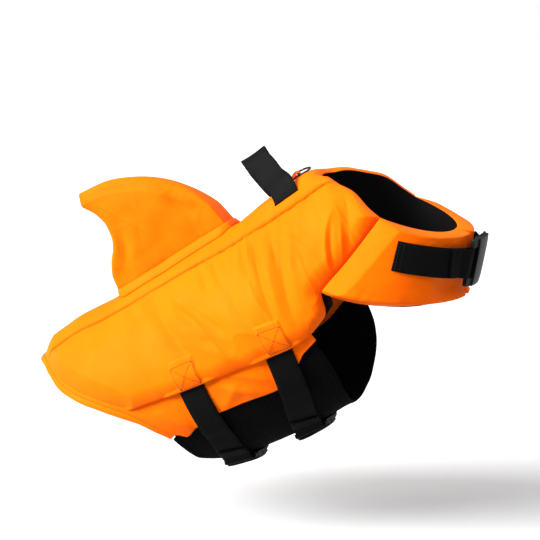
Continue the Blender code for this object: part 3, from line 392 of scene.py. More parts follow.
@dataclass
class Effects:
    """Builds each shared effect once and hands it out."""

    built: dict[Effect, bpy.types.NodeTree] = field(default_factory=dict)

    def group(self, effect: Effect) -> bpy.types.NodeTree:
        """The node group of an effect, built on first use."""
        if effect not in self.built:
            maker = {
                Effect.WEAVE: self._weave,
                Effect.RIBS: self._ribs,
                Effect.NET: self._net,
                Effect.MOTTLE: self._mottle,
            }[effect]
            self.built[effect] = maker(effect.value)
        return self.built[effect]

    def _start(
        self, name: str, inputs: dict[str, float], outputs: tuple[str, ...]
    ) -> tuple[Graph, Node, Node]:
        """An empty group with number inputs, a Place input and its outputs.

        Args:
            name: Name of the group.
            inputs: Input names with their usual values.
            outputs: Output names.

        Returns:
            The group's graph, its input node and its output node.
        """
        tree = bpy.data.node_groups.new(name, "ShaderNodeTree")
        tree.interface.new_socket(name="Place", in_out="INPUT", socket_type="NodeSocketVector")
        for key, value in inputs.items():
            socket = tree.interface.new_socket(name=key, in_out="INPUT", socket_type="NodeSocketFloat")
            socket.default_value = value
        for key in outputs:
            tree.interface.new_socket(name=key, in_out="OUTPUT", socket_type="NodeSocketFloat")
        graph = Graph(tree)
        return graph, graph.node("NodeGroupInput"), graph.node("NodeGroupOutput")

    def _turns(self, graph: Graph, source: Node, pitch: str) -> tuple[Socket, Socket]:
        """The two coordinates of Place as angles that turn once each pitch."""
        parts = graph.node("ShaderNodeSeparateXYZ")
        graph.feed(parts.inputs[0], source.outputs["Place"])
        rate = graph.math("DIVIDE", 2 * math.pi, source.outputs[pitch])
        return graph.math("MULTIPLY", parts.outputs[0], rate), graph.math("MULTIPLY", parts.outputs[1], rate)

    def _weave(self, name: str) -> bpy.types.NodeTree:
        """Plain weave: the product of two sines, raised where a thread passes over."""
        graph, source, result = self._start(name, {"Pitch": 0.0006}, ("Height",))
        x, y = self._turns(graph, source, "Pitch")
        product = graph.math("MULTIPLY", graph.math("SINE", x), graph.math("SINE", y))
        graph.feed(result.inputs["Height"], graph.ramp(product, -1, 1, 0, 1))
        return graph.tree

    def _ribs(self, name: str) -> bpy.types.NodeTree:
        """Webbing: cross ribs whose phase swings from warp to warp, with a groove between warps."""
        graph, source, result = self._start(name, {"Pitch": 0.0011, "Warp": 0.0016}, ("Height",))
        parts = graph.node("ShaderNodeSeparateXYZ")
        graph.feed(parts.inputs[0], source.outputs["Place"])
        along, across = (graph.math("MULTIPLY", parts.outputs[k], 2 * math.pi) for k in (0, 1))
        warp = graph.math("SINE", graph.math("DIVIDE", across, source.outputs["Warp"]))
        swing = graph.math("MULTIPLY", warp, 1.1)
        turn = graph.math("DIVIDE", along, source.outputs["Pitch"])
        rib = graph.math("SINE", graph.math("ADD", turn, swing))
        groove = graph.math("POWER", graph.math("ABSOLUTE", warp), 4.0)
        height = graph.math("MULTIPLY_ADD", rib, 0.4)
        height.node.inputs[2].default_value = 0.5
        height = graph.math("SUBTRACT", height, graph.math("MULTIPLY", groove, 0.2))
        # This height drives the bump and, in the webbing's finish, painted highlight on the crests and
        # painted shade in the grooves.
        graph.feed(result.inputs["Height"], height)
        return graph.tree

    def _net(self, name: str) -> bpy.types.NodeTree:
        """Mesh cloth: a lozenge net, with a hole where both slanting sines are high."""
        graph, source, result = self._start(name, {"Pitch": 0.0024}, ("Height", "Hole"))
        x, y = self._turns(graph, source, "Pitch")
        one = graph.math("COSINE", graph.math("ADD", x, graph.math("MULTIPLY", y, 0.6)))
        two = graph.math("COSINE", graph.math("SUBTRACT", x, graph.math("MULTIPLY", y, 0.6)))
        both = graph.math("ADD", one, two)
        # The Hole mask is where the net's finish paints shade into the holes.
        graph.feed(result.inputs["Hole"], graph.ramp(both, 0.35, 1.15, 0, 1))
        graph.feed(result.inputs["Height"], graph.ramp(both, -2.0, 1.1, 1, 0))
        return graph.tree

    def _mottle(self, name: str) -> bpy.types.NodeTree:
        """Slow uneven mask between 0 and 1, from two sizes of noise."""
        graph, source, result = self._start(name, {"Scale": 18.0}, ("Mask",))
        noise = graph.node("ShaderNodeTexNoise", noise_dimensions="3D")
        inputs = {"Vector": source.outputs["Place"], "Scale": source.outputs["Scale"], "Detail": 4.0}
        graph.settle(noise, inputs)
        graph.feed(result.inputs["Mask"], graph.ramp(noise.outputs[0], 0.32, 0.68, 0, 1))
        return graph.tree


@dataclass(frozen=True)
class Finish:
    """A finish with one surface effect over a slow change of colour.

    The colour runs from base to deep by the mottle, the roughness by the same mask, and the effect's
    height bends the normal. Where a painted light colour is given, the effect's height, or the net's
    holes, also pull the colour towards it: painted highlight on the webbing's rib crests with painted
    shade in its grooves, and painted shade in the net's holes.
    """

    name: str
    base: Colour
    deep: Colour
    roughness: float
    effect: Effect
    pitch: float
    relief: float
    mottle_scale: float = 18.0
    # Colour that the effect's height or the net's holes pull the colour towards, and how far: painted light,
    # as highlight on rib crests and shade in grooves and holes.
    painted_light_colour: Colour | None = None
    painted_light_share: float = 0.5
    specular: float = 0.5
    specular_tint: Colour = (1.0, 1.0, 1.0)
    metallic: float = 0.0
    # How far the roughness goes to each side of its mean.
    uneven: float = 0.04

    def material(self, effects: Effects) -> Material:
        """Builds the finish.

        Args:
            effects: The shared effects.

        Returns:
            A new material.
        """
        made = bpy.data.materials.new(self.name)
        made.use_nodes = True
        made.diffuse_color = (*self.base, 1.0)
        graph = Graph(made.node_tree)
        shader = made.node_tree.nodes["Principled BSDF"]
        solid = graph.node("ShaderNodeTexCoord").outputs["Object"]
        cloth = graph.node("ShaderNodeUVMap", uv_map="cloth").outputs[0]
        mottle = graph.node("ShaderNodeGroup", node_tree=effects.group(Effect.MOTTLE))
        graph.settle(mottle, {"Place": solid, "Scale": self.mottle_scale})
        surface = graph.node("ShaderNodeGroup", node_tree=effects.group(self.effect))
        grainy = self.effect is Effect.MOTTLE
        size = "Scale" if grainy else "Pitch"
        graph.settle(surface, {"Place": solid if grainy else cloth, size: self.pitch})
        height = surface.outputs["Mask" if grainy else "Height"]
        colour = graph.mix(mottle.outputs["Mask"], (*self.base, 1.0), (*self.deep, 1.0))
        # Painted light: the webbing's rib crests are painted lighter than its grooves, and the net's holes
        # darker than its yarn, as painted highlight and painted shade.
        if self.painted_light_colour is not None:
            mask = surface.outputs["Hole"] if self.effect is Effect.NET else height
            share = graph.math("MULTIPLY", mask, self.painted_light_share)
            colour = graph.mix(share, colour, (*self.painted_light_colour, 1.0))
        smoothest, roughest = self.roughness - self.uneven, self.roughness + self.uneven
        bump = graph.node("ShaderNodeBump")
        graph.settle(bump, {"Strength": 1.0, "Distance": self.relief, "Height": height})
        inputs = {
            "Base Color": colour,
            "Roughness": graph.ramp(mottle.outputs["Mask"], 0, 1, smoothest, roughest),
            "Normal": bump.outputs["Normal"],
            "Specular IOR Level": self.specular,
            "Metallic": self.metallic,
            "Specular Tint": (*self.specular_tint, 1.0),
        }
        graph.settle(shader, inputs)
        return made


ORANGE = Finish(
    "orange_cloth", (0.97, 0.142, 0.0018), (0.95, 0.126, 0.0015), 0.5, Effect.WEAVE, 0.0007, 0.00003,
    specular=0.06, specular_tint=(1.0, 0.4, 0.03),
)
# Its ribs' crests are painted lighter than the grooves between them: painted highlight and painted shade on
# the weave, not a colour of the yarn.
WEBBING = Finish(
    "black_webbing", (0.0006, 0.0007, 0.0008), (0.0010, 0.0011, 0.0012), 0.6, Effect.RIBS, 0.0016, 0.00013,
    painted_light_colour=(0.0085, 0.0088, 0.0088), painted_light_share=1.0, specular=0.03,
)
# Its holes are painted near black, darker than the yarn: painted shade in the holes.
NET = Finish(
    "black_mesh", (0.0026, 0.0027, 0.003), (0.002, 0.0021, 0.0023), 0.75, Effect.NET, 0.0026, 0.0006,
    painted_light_colour=(0.0003, 0.0003, 0.0004), painted_light_share=1.0, specular=0.03,
)
LINING = Finish(
    "black_lining", (0.0022, 0.0022, 0.0024), (0.003, 0.003, 0.0033), 0.7, Effect.WEAVE, 0.0009, 0.00006,
    specular=0.06,
)
PLASTIC = Finish(
    "dark_plastic", (0.003, 0.0032, 0.0034), (0.0042, 0.0045, 0.0048), 0.42, Effect.MOTTLE, 900.0, 0.00002,
    specular=0.14,
)
METAL = Finish(
    "dark_metal", (0.05, 0.05, 0.052), (0.07, 0.07, 0.073), 0.3, Effect.MOTTLE, 700.0, 0.00001,
    mottle_scale=120.0, metallic=1.0,
)


def thread_finish(name: str, base: Colour, deep: Colour, roughness: float) -> Finish:
    """The finish of a sewing thread."""
    return Finish(name, base, deep, roughness, Effect.MOTTLE, 1500.0, 0.00002, specular=0.2)


BROWN_THREAD = thread_finish("brown_thread", (0.11, 0.028, 0.005), (0.15, 0.038, 0.006), 0.6)
ORANGE_THREAD = thread_finish("orange_thread", (0.55, 0.06, 0.002), (0.62, 0.075, 0.002), 0.55)
BLACK_THREAD = thread_finish("black_thread", (0.005, 0.005, 0.0055), (0.007, 0.007, 0.0075), 0.5)


@dataclass
class Wardrobe:
    """Every material of the jacket, each built once, and the pieces that wear them."""

    effects: Effects = field(default_factory=Effects)
    made: dict[str, Material] = field(default_factory=dict)

    def get(self, finish: Finish) -> Material:
        """The material of a finish."""
        if finish.name not in self.made:
            self.made[finish.name] = finish.material(self.effects)
        return self.made[finish.name]

    def dress(self, node: str, form: str, skin: Skin, *finishes: Finish, body: str = "jacket") -> Piece:
        """Places the piece that stands for a node, and hides the node's own part.

        Args:
            node: Node of the model that the piece replaces.
            form: What the piece is, as the end of its name.
            skin: Its skin.
            finishes: Its finishes, by their number in the skin.
            body: Body that it moves with.

        Returns:
            The new object.
        """
        piece = place_piece(f"{node}_{form}", skin, [self.get(finish) for finish in finishes], body)
        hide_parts(node)
        return piece


# ---- Forms -------------------------------------------------------------------------------------


class Form(ABC):
    """A surface that cloth is laid over, given by two coordinates."""

    @abstractmethod
    def point(self, first: Array, second: Array) -> Array:
        """Points of the form."""

    @abstractmethod
    def normal(self, first: Array, second: Array) -> Array:
        """Directions out of the form."""

    def over(self, first: Array, second: Array, height: Array) -> Array:
        """Points of the form moved out by a height."""
        first, second = np.broadcast_arrays(np.asarray(first, float), np.asarray(second, float))
        height = np.broadcast_to(height, first.shape)
        return self.point(first, second) + height[..., None] * self.normal(first, second)

    def ply(self, first: Array, second: Array, middle: Array, half: Array, place: Array) -> Skin:
        """One cloth over the form.

        Args:
            first: Grid of first coordinates.
            second: Grid of second coordinates.
            middle: Height of the cloth's middle.
            half: Half its thickness.
            place: Grid of places on the cloth, in millimetres.

        Returns:
            Its skin.
        """
        return slab(self.over(first, second, middle + half), self.over(first, second, middle - half), place)


@dataclass(frozen=True)
class Trunk(Form):
    """The form under the jacket: an oval, narrowed at the back, pitched up towards the front."""

    pitch: float = 35.4
    hold_along: float = 215.0
    keel: float = 0.10
    # along, crown, half_width, depth, narrowing of the back
    sections: Table = (
        (-30, 1.8, 60, 146, 0.22),
        (0, 6.8, 65, 156, 0.24),
        (45, 8.3, 71, 166, 0.26),
        (94, 3.3, 76, 172, 0.27),
        (150, 0.8, 80, 182, 0.27),
        (200, -0.7, 83, 186, 0.27),
        (235, -2.2, 84, 186, 0.26),
        (275, -1.2, 83, 190, 0.24),
        (300, -1.0, 80, 188, 0.21),
        (332, -0.2, 74, 183, 0.18),
        (385, 1.2, 60, 170, 0.08),
        (430, 0.0, 50, 160, 0.0),
    )

    def pitched(self, along: Array, side: Array, up: Array) -> Array:
        """Points from the pitched trunk's own directions."""
        pitch = math.radians(self.pitch)
        along = np.asarray(along) - self.hold_along
        x = along * math.cos(pitch) - up * math.sin(pitch)
        z = along * math.sin(pitch) + up * math.cos(pitch)
        return np.stack(np.broadcast_arrays(x, side, z), axis=-1)

    def rise_of(self, points: Array) -> Array:
        """Heights of points over the pitched axis."""
        pitch = math.radians(self.pitch)
        return points[..., 2] * math.cos(pitch) - points[..., 0] * math.sin(pitch)

    def crown(self, along: Array) -> Array:
        """Height of the spine over the pitched axis."""
        return read(self.sections, along, 1)

    def point(self, along: Array, angle: Array) -> Array:
        """Points of the trunk: an ellipse, hung from its crown and narrowed at its back and keel."""
        turn = np.radians(angle)
        half_width, depth, back = (read(self.sections, along, k) for k in (2, 3, 4))
        narrowing = np.where(np.cos(turn) > 0, back, self.keel) * np.cos(turn) ** 2
        side = -half_width * np.sin(turn) * (1 - narrowing)
        up = self.crown(along) - depth / 2 * (1 - np.cos(turn))
        return self.pitched(along, side, up)

    def normal(self, along: Array, angle: Array) -> Array:
        """Outward directions, across the trunk's slopes along and round."""
        step = 0.05
        ahead = self.point(along + step, angle) - self.point(along - step, angle)
        round_it = self.point(along, angle + step) - self.point(along, angle - step)
        return unit(np.cross(round_it, ahead))


@dataclass(frozen=True)
class Seams:
    """Lines on the trunk that neighbouring panels share."""

    mm_per_degree: float = 1.4
    # along, angle of the seam between the spine strip and a side panel
    strip: Table = (
        (-30, 30),
        (-10, 29),
        (20, 27),
        (80, 26.5),
        (146, 27),
        (200, 28.5),
        (254, 31.5),
        (327, 35),
        (430, 37),
    )
    # angle, along where the foam ends and the rear hem starts
    rear: Table = (
        (0, -1),
        (15, 3.5),
        (28, 9.7),
        (40, 15.5),
        (52, 22.6),
        (65, 36.2),
        (73, 48),
        (82, 64.5),
        (91.5, 83),
        (98, 89.2),
        (108, 99),
        (117.5, 107.3),
        (125, 110),
    )
    # angle, along of the neck edge
    neck: Table = ((0, 345), (12.7, 347), (24.6, 357), (36.3, 365), (52, 378), (65, 383), (75.2, 388))
    # along, angle of a side panel's pocket edge, armhole and shoulder seam
    lower: Table = (
        (60, 91),
        (83, 91.5),
        (142, 93.3),
        (173, 94.7),
        (205, 97),
        (237, 99.5),
        (265, 101),
        (279, 101),
        (293, 99.5),
        (302, 97.8),
        (306, 95),
        (308, 91),
        (311, 87),
        (320, 85.3),
        (341, 83),
        (365, 79.6),
        (388, 75.2),
    )
    panel_rear: Place = (27.0, 91.5)
    panel_neck: Place = (36.3, 75.2)

    @property
    def scale(self) -> Place:
        """Millimetres for a unit of along and of angle."""
        return 1.0, self.mm_per_degree

    def strip_angle(self, along: Array) -> Array:
        """Angle of the strip seam, which the puckered cloth pulls to and fro by under a millimetre."""
        pull = np.sin(along / 4.1 + 1.4 * np.sin(along / 13.0)) * (0.2 + 0.3 * np.sin(along / 21.0) ** 2)
        return read(self.strip, along, 1) + 0.55 * pull * ease(along, 150, 225)

    def rear_along(self, angle: Array) -> Array:
        """Where the foam starts at an angle."""
        return read(self.rear, angle, 1)

    def neck_along(self, angle: Array) -> Array:
        """Where the neck edge lies at an angle."""
        return read(self.neck, angle, 1)

    def lower_angle(self, along: Array) -> Array:
        """Angle of a side panel's lower edge."""
        return read(self.lower, along, 1)

    def flattened(self, along: Array, angle: Array) -> Array:
        """Places in millimetres on the trunk's surface laid flat."""
        return np.stack(np.broadcast_arrays(along, angle * self.mm_per_degree), -1).astype(float)


@dataclass(frozen=True)
class Edge:
    """How foam ends at an edge of its panel.

    The foam slopes from its full height to `height` over `reach`, as 1 - (1 - s)^crease, and the
    cloth turns in over `turn` on a quarter ellipse down to `foot` times its height.
    """

    height: float
    reach: float
    crease: float = 1.9
    turn: float = 2.0
    foot: float = 0.55


Edges = tuple[tuple[Array, Edge], ...]

# Edges that the spine strip and the side panels have in common.
STRIP_SEAM = Edge(8.8, 8.0, turn=1.7, foot=0.66)
REAR_EDGE = Edge(4.7, 17.0, crease=1.35, turn=1.2, foot=0.7)
NECK_EDGE = Edge(5.6, 15.0, turn=3.5, foot=0.2)


@dataclass(frozen=True)
class Fold:
    """One soft fold between two places, with the cloth beside it swelling the other way."""

    start: Place
    end: Place
    height: float
    width: float
    bend: float = 0.0
    beside: float = 0.25

    def relief(self, place: Array, scale: Place) -> Array:
        """Height of the fold: a bell across its bowed line, fading towards both ends.

        Args:
            place: Places in millimetres.
            scale: Millimetres for each unit of the fold's own two coordinates.

        Returns:
            Heights in millimetres.
        """
        start, end = np.array(self.start) * scale, np.array(self.end) * scale
        step = end - start
        across = np.array([-step[1], step[0]]) / np.linalg.norm(step)
        share = np.linspace(0, 1, 13)[:, None]
        line = start + share * step + across * self.bend * 4 * share * (1 - share)
        distance, passed = nearest(place, line)
        fade = np.sin(math.pi * np.clip(passed, 0.04, 0.96)) ** 0.7
        core = np.exp(-((distance / self.width) ** 1.5))
        swell = np.exp(-(((distance - 2.1 * self.width) / (0.9 * self.width)) ** 2))
        return self.height * fade * (core - self.beside * swell)


def folded(folds: tuple[Fold, ...], place: Array, scale: Place = (1.0, 1.0)) -> Array:
    """Height of all the folds of a face together."""
    return sum(fold.relief(place, scale) for fold in folds)


@dataclass(frozen=True)
class Swells:
    """Slow uneven swells of a cloth, of one height and wave length."""

    height: float
    length: float

    def relief(self, place: Array, seed: int) -> Array:
        """Heights at places in millimetres; the seed fixes the pattern."""
        return self.height * waves(place, self.length, seed)


@dataclass(frozen=True)
class Creases:
    """Fine uneven creases: ridges where slow waves, drawn out along a slant, cross zero.

    length is the usual distance between creases, and slant their angle from the second coordinate.
    """

    height: float
    length: float
    slant: float
    drawn_out: float = 0.3

    def relief(self, place: Array, seed: int, way: int = 1) -> Array:
        """Heights at places in millimetres; the seed fixes the pattern, and way turns the slant."""
        turn = math.radians(self.slant * way)
        across = place[..., 0] * math.cos(turn) + place[..., 1] * math.sin(turn)
        along = place[..., 1] * math.cos(turn) - place[..., 0] * math.sin(turn)
        drawn = np.stack([across, along * self.drawn_out], -1)
        ridge = (1 - np.minimum(np.abs(waves(drawn, self.length, seed)) * 1.6, 1)) ** 3
        return self.height * (ridge * ease(waves(place, self.length * 3, seed + 1), -0.1, 0.5))


@dataclass(frozen=True)
class Gathers:
    """Small gathers beside a seam: sines along it whose pitch and height wander, fading off it.

    height is that of the largest, pitch the usual distance from one to the next, and reach the
    distance over which they fade.
    """

    height: float
    pitch: float
    reach: float

    def relief(self, off_seam: Array, along_seam: Array, seed: float) -> Array:
        """Heights at distances from the seam and along it; the seed shifts the pattern."""
        turns = along_seam / self.pitch
        phase = 2 * math.pi * along_seam / self.pitch + 1.6 * np.sin(turns * 1.7 + seed) + seed
        swing = 0.35 + 0.65 * np.sin(turns * 0.9 + 2.3 * seed) ** 2
        fade = np.exp(-off_seam / self.reach)
        return self.height * swing * np.sin(phase) * fade * ease(off_seam, 0.2, 2.5)


def foam_height(points: Array, full: float, edges: Edges) -> tuple[Array, Array]:
    """Height of foam over the form, and how far its cloth is turned in.

    Args:
        points: Points of the form.
        full: Height away from the edges.
        edges: Each edge's line on the form with how the foam ends there.

    Returns:
        Heights, and shares of the height that the turned cloth keeps.
    """
    height = np.full(points.shape[:-1], float(full))
    kept = np.ones(points.shape[:-1])
    for line, edge in edges:
        distance, _ = nearest(points, line)
        rise = 1 - (1 - np.clip(distance / edge.reach, 0, 1)) ** edge.crease
        height = np.minimum(height, edge.height + (full - edge.height) * rise)
        turned = np.clip((distance - 0.3) / edge.turn, 0, 1)
        kept = np.minimum(kept, edge.foot + (1 - edge.foot) * np.sqrt(1 - (1 - turned) ** 2))
    return height, kept


@dataclass(frozen=True)
class StrapLines:
    """Centre lines of the belly straps, and how they leave the pocket edge."""

    tuck: float = 16.0
    leaves_pocket: float = 94.0
    over_flap: float = 6.0
    # angle, rear strap along, front strap along
    centres: Table = (
        (80, 156.5, 252.5),
        (94, 154.5, 250.5),
        (100, 152.5, 248),
        (116, 146.5, 239),
        (129, 141, 229),
        (143, 134, 217),
        (160, 127, 205.5),
        (170, 124.5, 201.5),
        (180, 123.8, 200.5),
        (190, 124.5, 201.5),
    )

    def off_centres(self, along: Array, angle: Array) -> list[Array]:
        """Distances from the centre lines of the rear and the front strap."""
        return [np.abs(along - read(self.centres, angle, number)) for number in (1, 2)]


@dataclass(frozen=True)
class Pattern:
    """What every panel of the jacket is laid out on."""

    trunk: Trunk = Trunk()
    seams: Seams = Seams()
    straps: StrapLines = StrapLines()
    inside: float = 1.3
    full: float = 13.0
    cloth: float = 3.3


# ---- Spine strip -------------------------------------------------------------------------------


@dataclass(frozen=True)
class SpineStrip:
    """The padded strip over the spine, which carries the fin, the handle and the ring's tab."""

    pattern: Pattern = Pattern()
    folds: tuple[Fold, ...] = (
        Fold((257, -12), (257, 12), -5.4, 12, beside=0.0),
        Fold((272, -26), (278, -12), -1.5, 7, beside=0.0),
        Fold((272, 26), (278, 12), -1.5, 7, beside=0.0),
        Fold((321, -8), (321, 8), -2.6, 9, beside=0.0),
        Fold((262, 31), (268, 19), 0.7, 3.0),
        Fold((266, -31), (271, -18), 0.7, 3.5),
        Fold((20, 4), (70, 7), -0.5, 7),
        Fold((334, 30), (338, 4), -0.6, 4),
        Fold((336, -27), (341, -6), -0.6, 4),
    )
    swells: Swells = Swells(0.25, 34)
    creases: Creases = Creases(0.35, 20, 0)
    gathers_right: Gathers = Gathers(0.45, 9.5, 5.0)
    gathers_left: Gathers = Gathers(0.45, 10.5, 5.0)
    # Where the cloth, taut under the fin, starts to crease and gather in front of it.
    slackens: Place = (150.0, 230.0)

    def edges(self) -> Edges:
        """Lines of both seams, the hem and the neck on the trunk."""
        trunk, seams = self.pattern.trunk, self.pattern.seams
        along = np.linspace(-5, 370, 90)
        across = np.linspace(-37, 37, 30)
        return (
            (trunk.point(along, seams.strip_angle(along)), STRIP_SEAM),
            (trunk.point(along, -seams.strip_angle(along)), STRIP_SEAM),
            (trunk.point(seams.rear_along(np.abs(across)), across), REAR_EDGE),
            (trunk.point(seams.neck_along(np.abs(across)), across), NECK_EDGE),
        )

    def outside(self, along: Array, angle: Array) -> Array:
        """Offset of the strip's outer face from the trunk: foam, folds, gathers and turned edges."""
        pattern = self.pattern
        place = pattern.seams.flattened(along, angle)
        foam, kept = foam_height(pattern.trunk.point(along, angle), pattern.full, self.edges())
        soft = (foam - pattern.cloth) / (pattern.full - pattern.cloth)
        slack = ease(along, *self.slackens)
        relief = folded(self.folds, place, pattern.seams.scale)
        relief = relief + self.swells.relief(place, 3) * ease(along, 20, 60)
        relief = relief + self.creases.relief(place, 71) * slack
        off_seam = (pattern.seams.strip_angle(along) - np.abs(angle)) * pattern.seams.mm_per_degree
        right = self.gathers_right.relief(off_seam, along, 0.7)
        left = self.gathers_left.relief(off_seam, along, 2.9)
        gathers = np.where(angle > 0, right, left) * (0.3 + 0.7 * slack)
        height = foam + soft * relief + gathers
        return pattern.inside + (height - pattern.inside) * kept

    def over(self, along: Array, left: Array, height: Array) -> Array:
        """Points over the strip's outer face, from distances to the left of the spine."""
        along, left = np.broadcast_arrays(np.asarray(along, float), np.asarray(left, float))
        trunk = self.pattern.trunk
        ten_degrees = np.linalg.norm(trunk.point(along, 5.0) - trunk.point(along, -5.0), axis=-1)
        angle = -left * 10 / ten_degrees
        return trunk.over(along, angle, self.outside(along, angle) + height)

    def build(self, wardrobe: Wardrobe) -> None:
        """Lays the strip's two cloths on a grid from the hem to the neck and from seam to seam."""
        pattern = self.pattern
        share = spans((0, 0.012, 6), (0.012, 0.988, 300), (0.988, 1, 7))[:, None]
        across = spans((-1, -0.93, 7), (-0.93, 0.93, 70), (0.93, 1, 7))[None, :]
        seams = pattern.seams
        rear = seams.rear_along(np.abs(across) * seams.panel_rear[0])
        neck = seams.neck_along(np.abs(across) * seams.panel_neck[0])
        along = rear + share * (neck - rear)
        angle = across * seams.strip_angle(along)
        inner = pattern.trunk.over(along, angle, pattern.inside)
        outer = pattern.trunk.over(along, angle, self.outside(along, angle))
        skin = slab(outer, inner, seams.flattened(along, angle), inside_finish=1)
        wardrobe.dress("spine_strip", "cover", skin, ORANGE, LINING)


# ---- Side panels -------------------------------------------------------------------------------


class Side(Enum):
    """The dog's two sides."""

    RIGHT = "right"
    LEFT = "left"

    @property
    def sign(self) -> int:
        """1 on the right, where the forms are worked out, and -1 on the left."""
        return 1 if self is Side.RIGHT else -1

    def place(self, skin: Skin) -> Skin:
        """A skin worked out on the right, taken to this side."""
        return skin if self is Side.RIGHT else skin.mirrored()

    def points(self, points: Array) -> Array:
        """Points worked out on the right, taken to this side."""
        return points * np.array([1.0, float(self.sign), 1.0])


@dataclass(frozen=True)
class Anchor:
    """Where a belly strap's hidden end is sewn on behind a side panel.

    corner, front and low are the places of the box's upper rear corner, upper front corner and lower
    rear corner, as (along, angle).
    """

    corner: Place
    front: Place
    low: Place

    def local(self, along: Array, angle: Array) -> tuple[Array, Array]:
        """Shares of the box's width and depth at places, by its two edges."""
        edges = np.array([np.subtract(self.front, self.corner), np.subtract(self.low, self.corner)]).T
        off = np.stack([along - self.corner[0], angle - self.corner[1]], -1)
        shares = off @ np.linalg.inv(edges).T
        return shares[..., 0], shares[..., 1]

    def raised(self, along: Array, angle: Array) -> Array:
        """1 over the hidden end and 0 off it, with soft sides."""
        wide, deep = self.local(along, angle)
        beside = ease(0.56 - np.abs(wide - 0.5), 0.0, 0.05)
        above = ease(deep, -0.26, -0.21)
        return beside * above

    def lines(self) -> list[Array]:
        """The box and its two diagonals, as lines of (along, angle)."""
        corner, front, low = (np.array(place, float) for place in (self.corner, self.front, self.low))
        far = front + low - corner
        return [np.array([corner, front, far, low, corner]), np.array([corner, far]), np.array([front, low])]


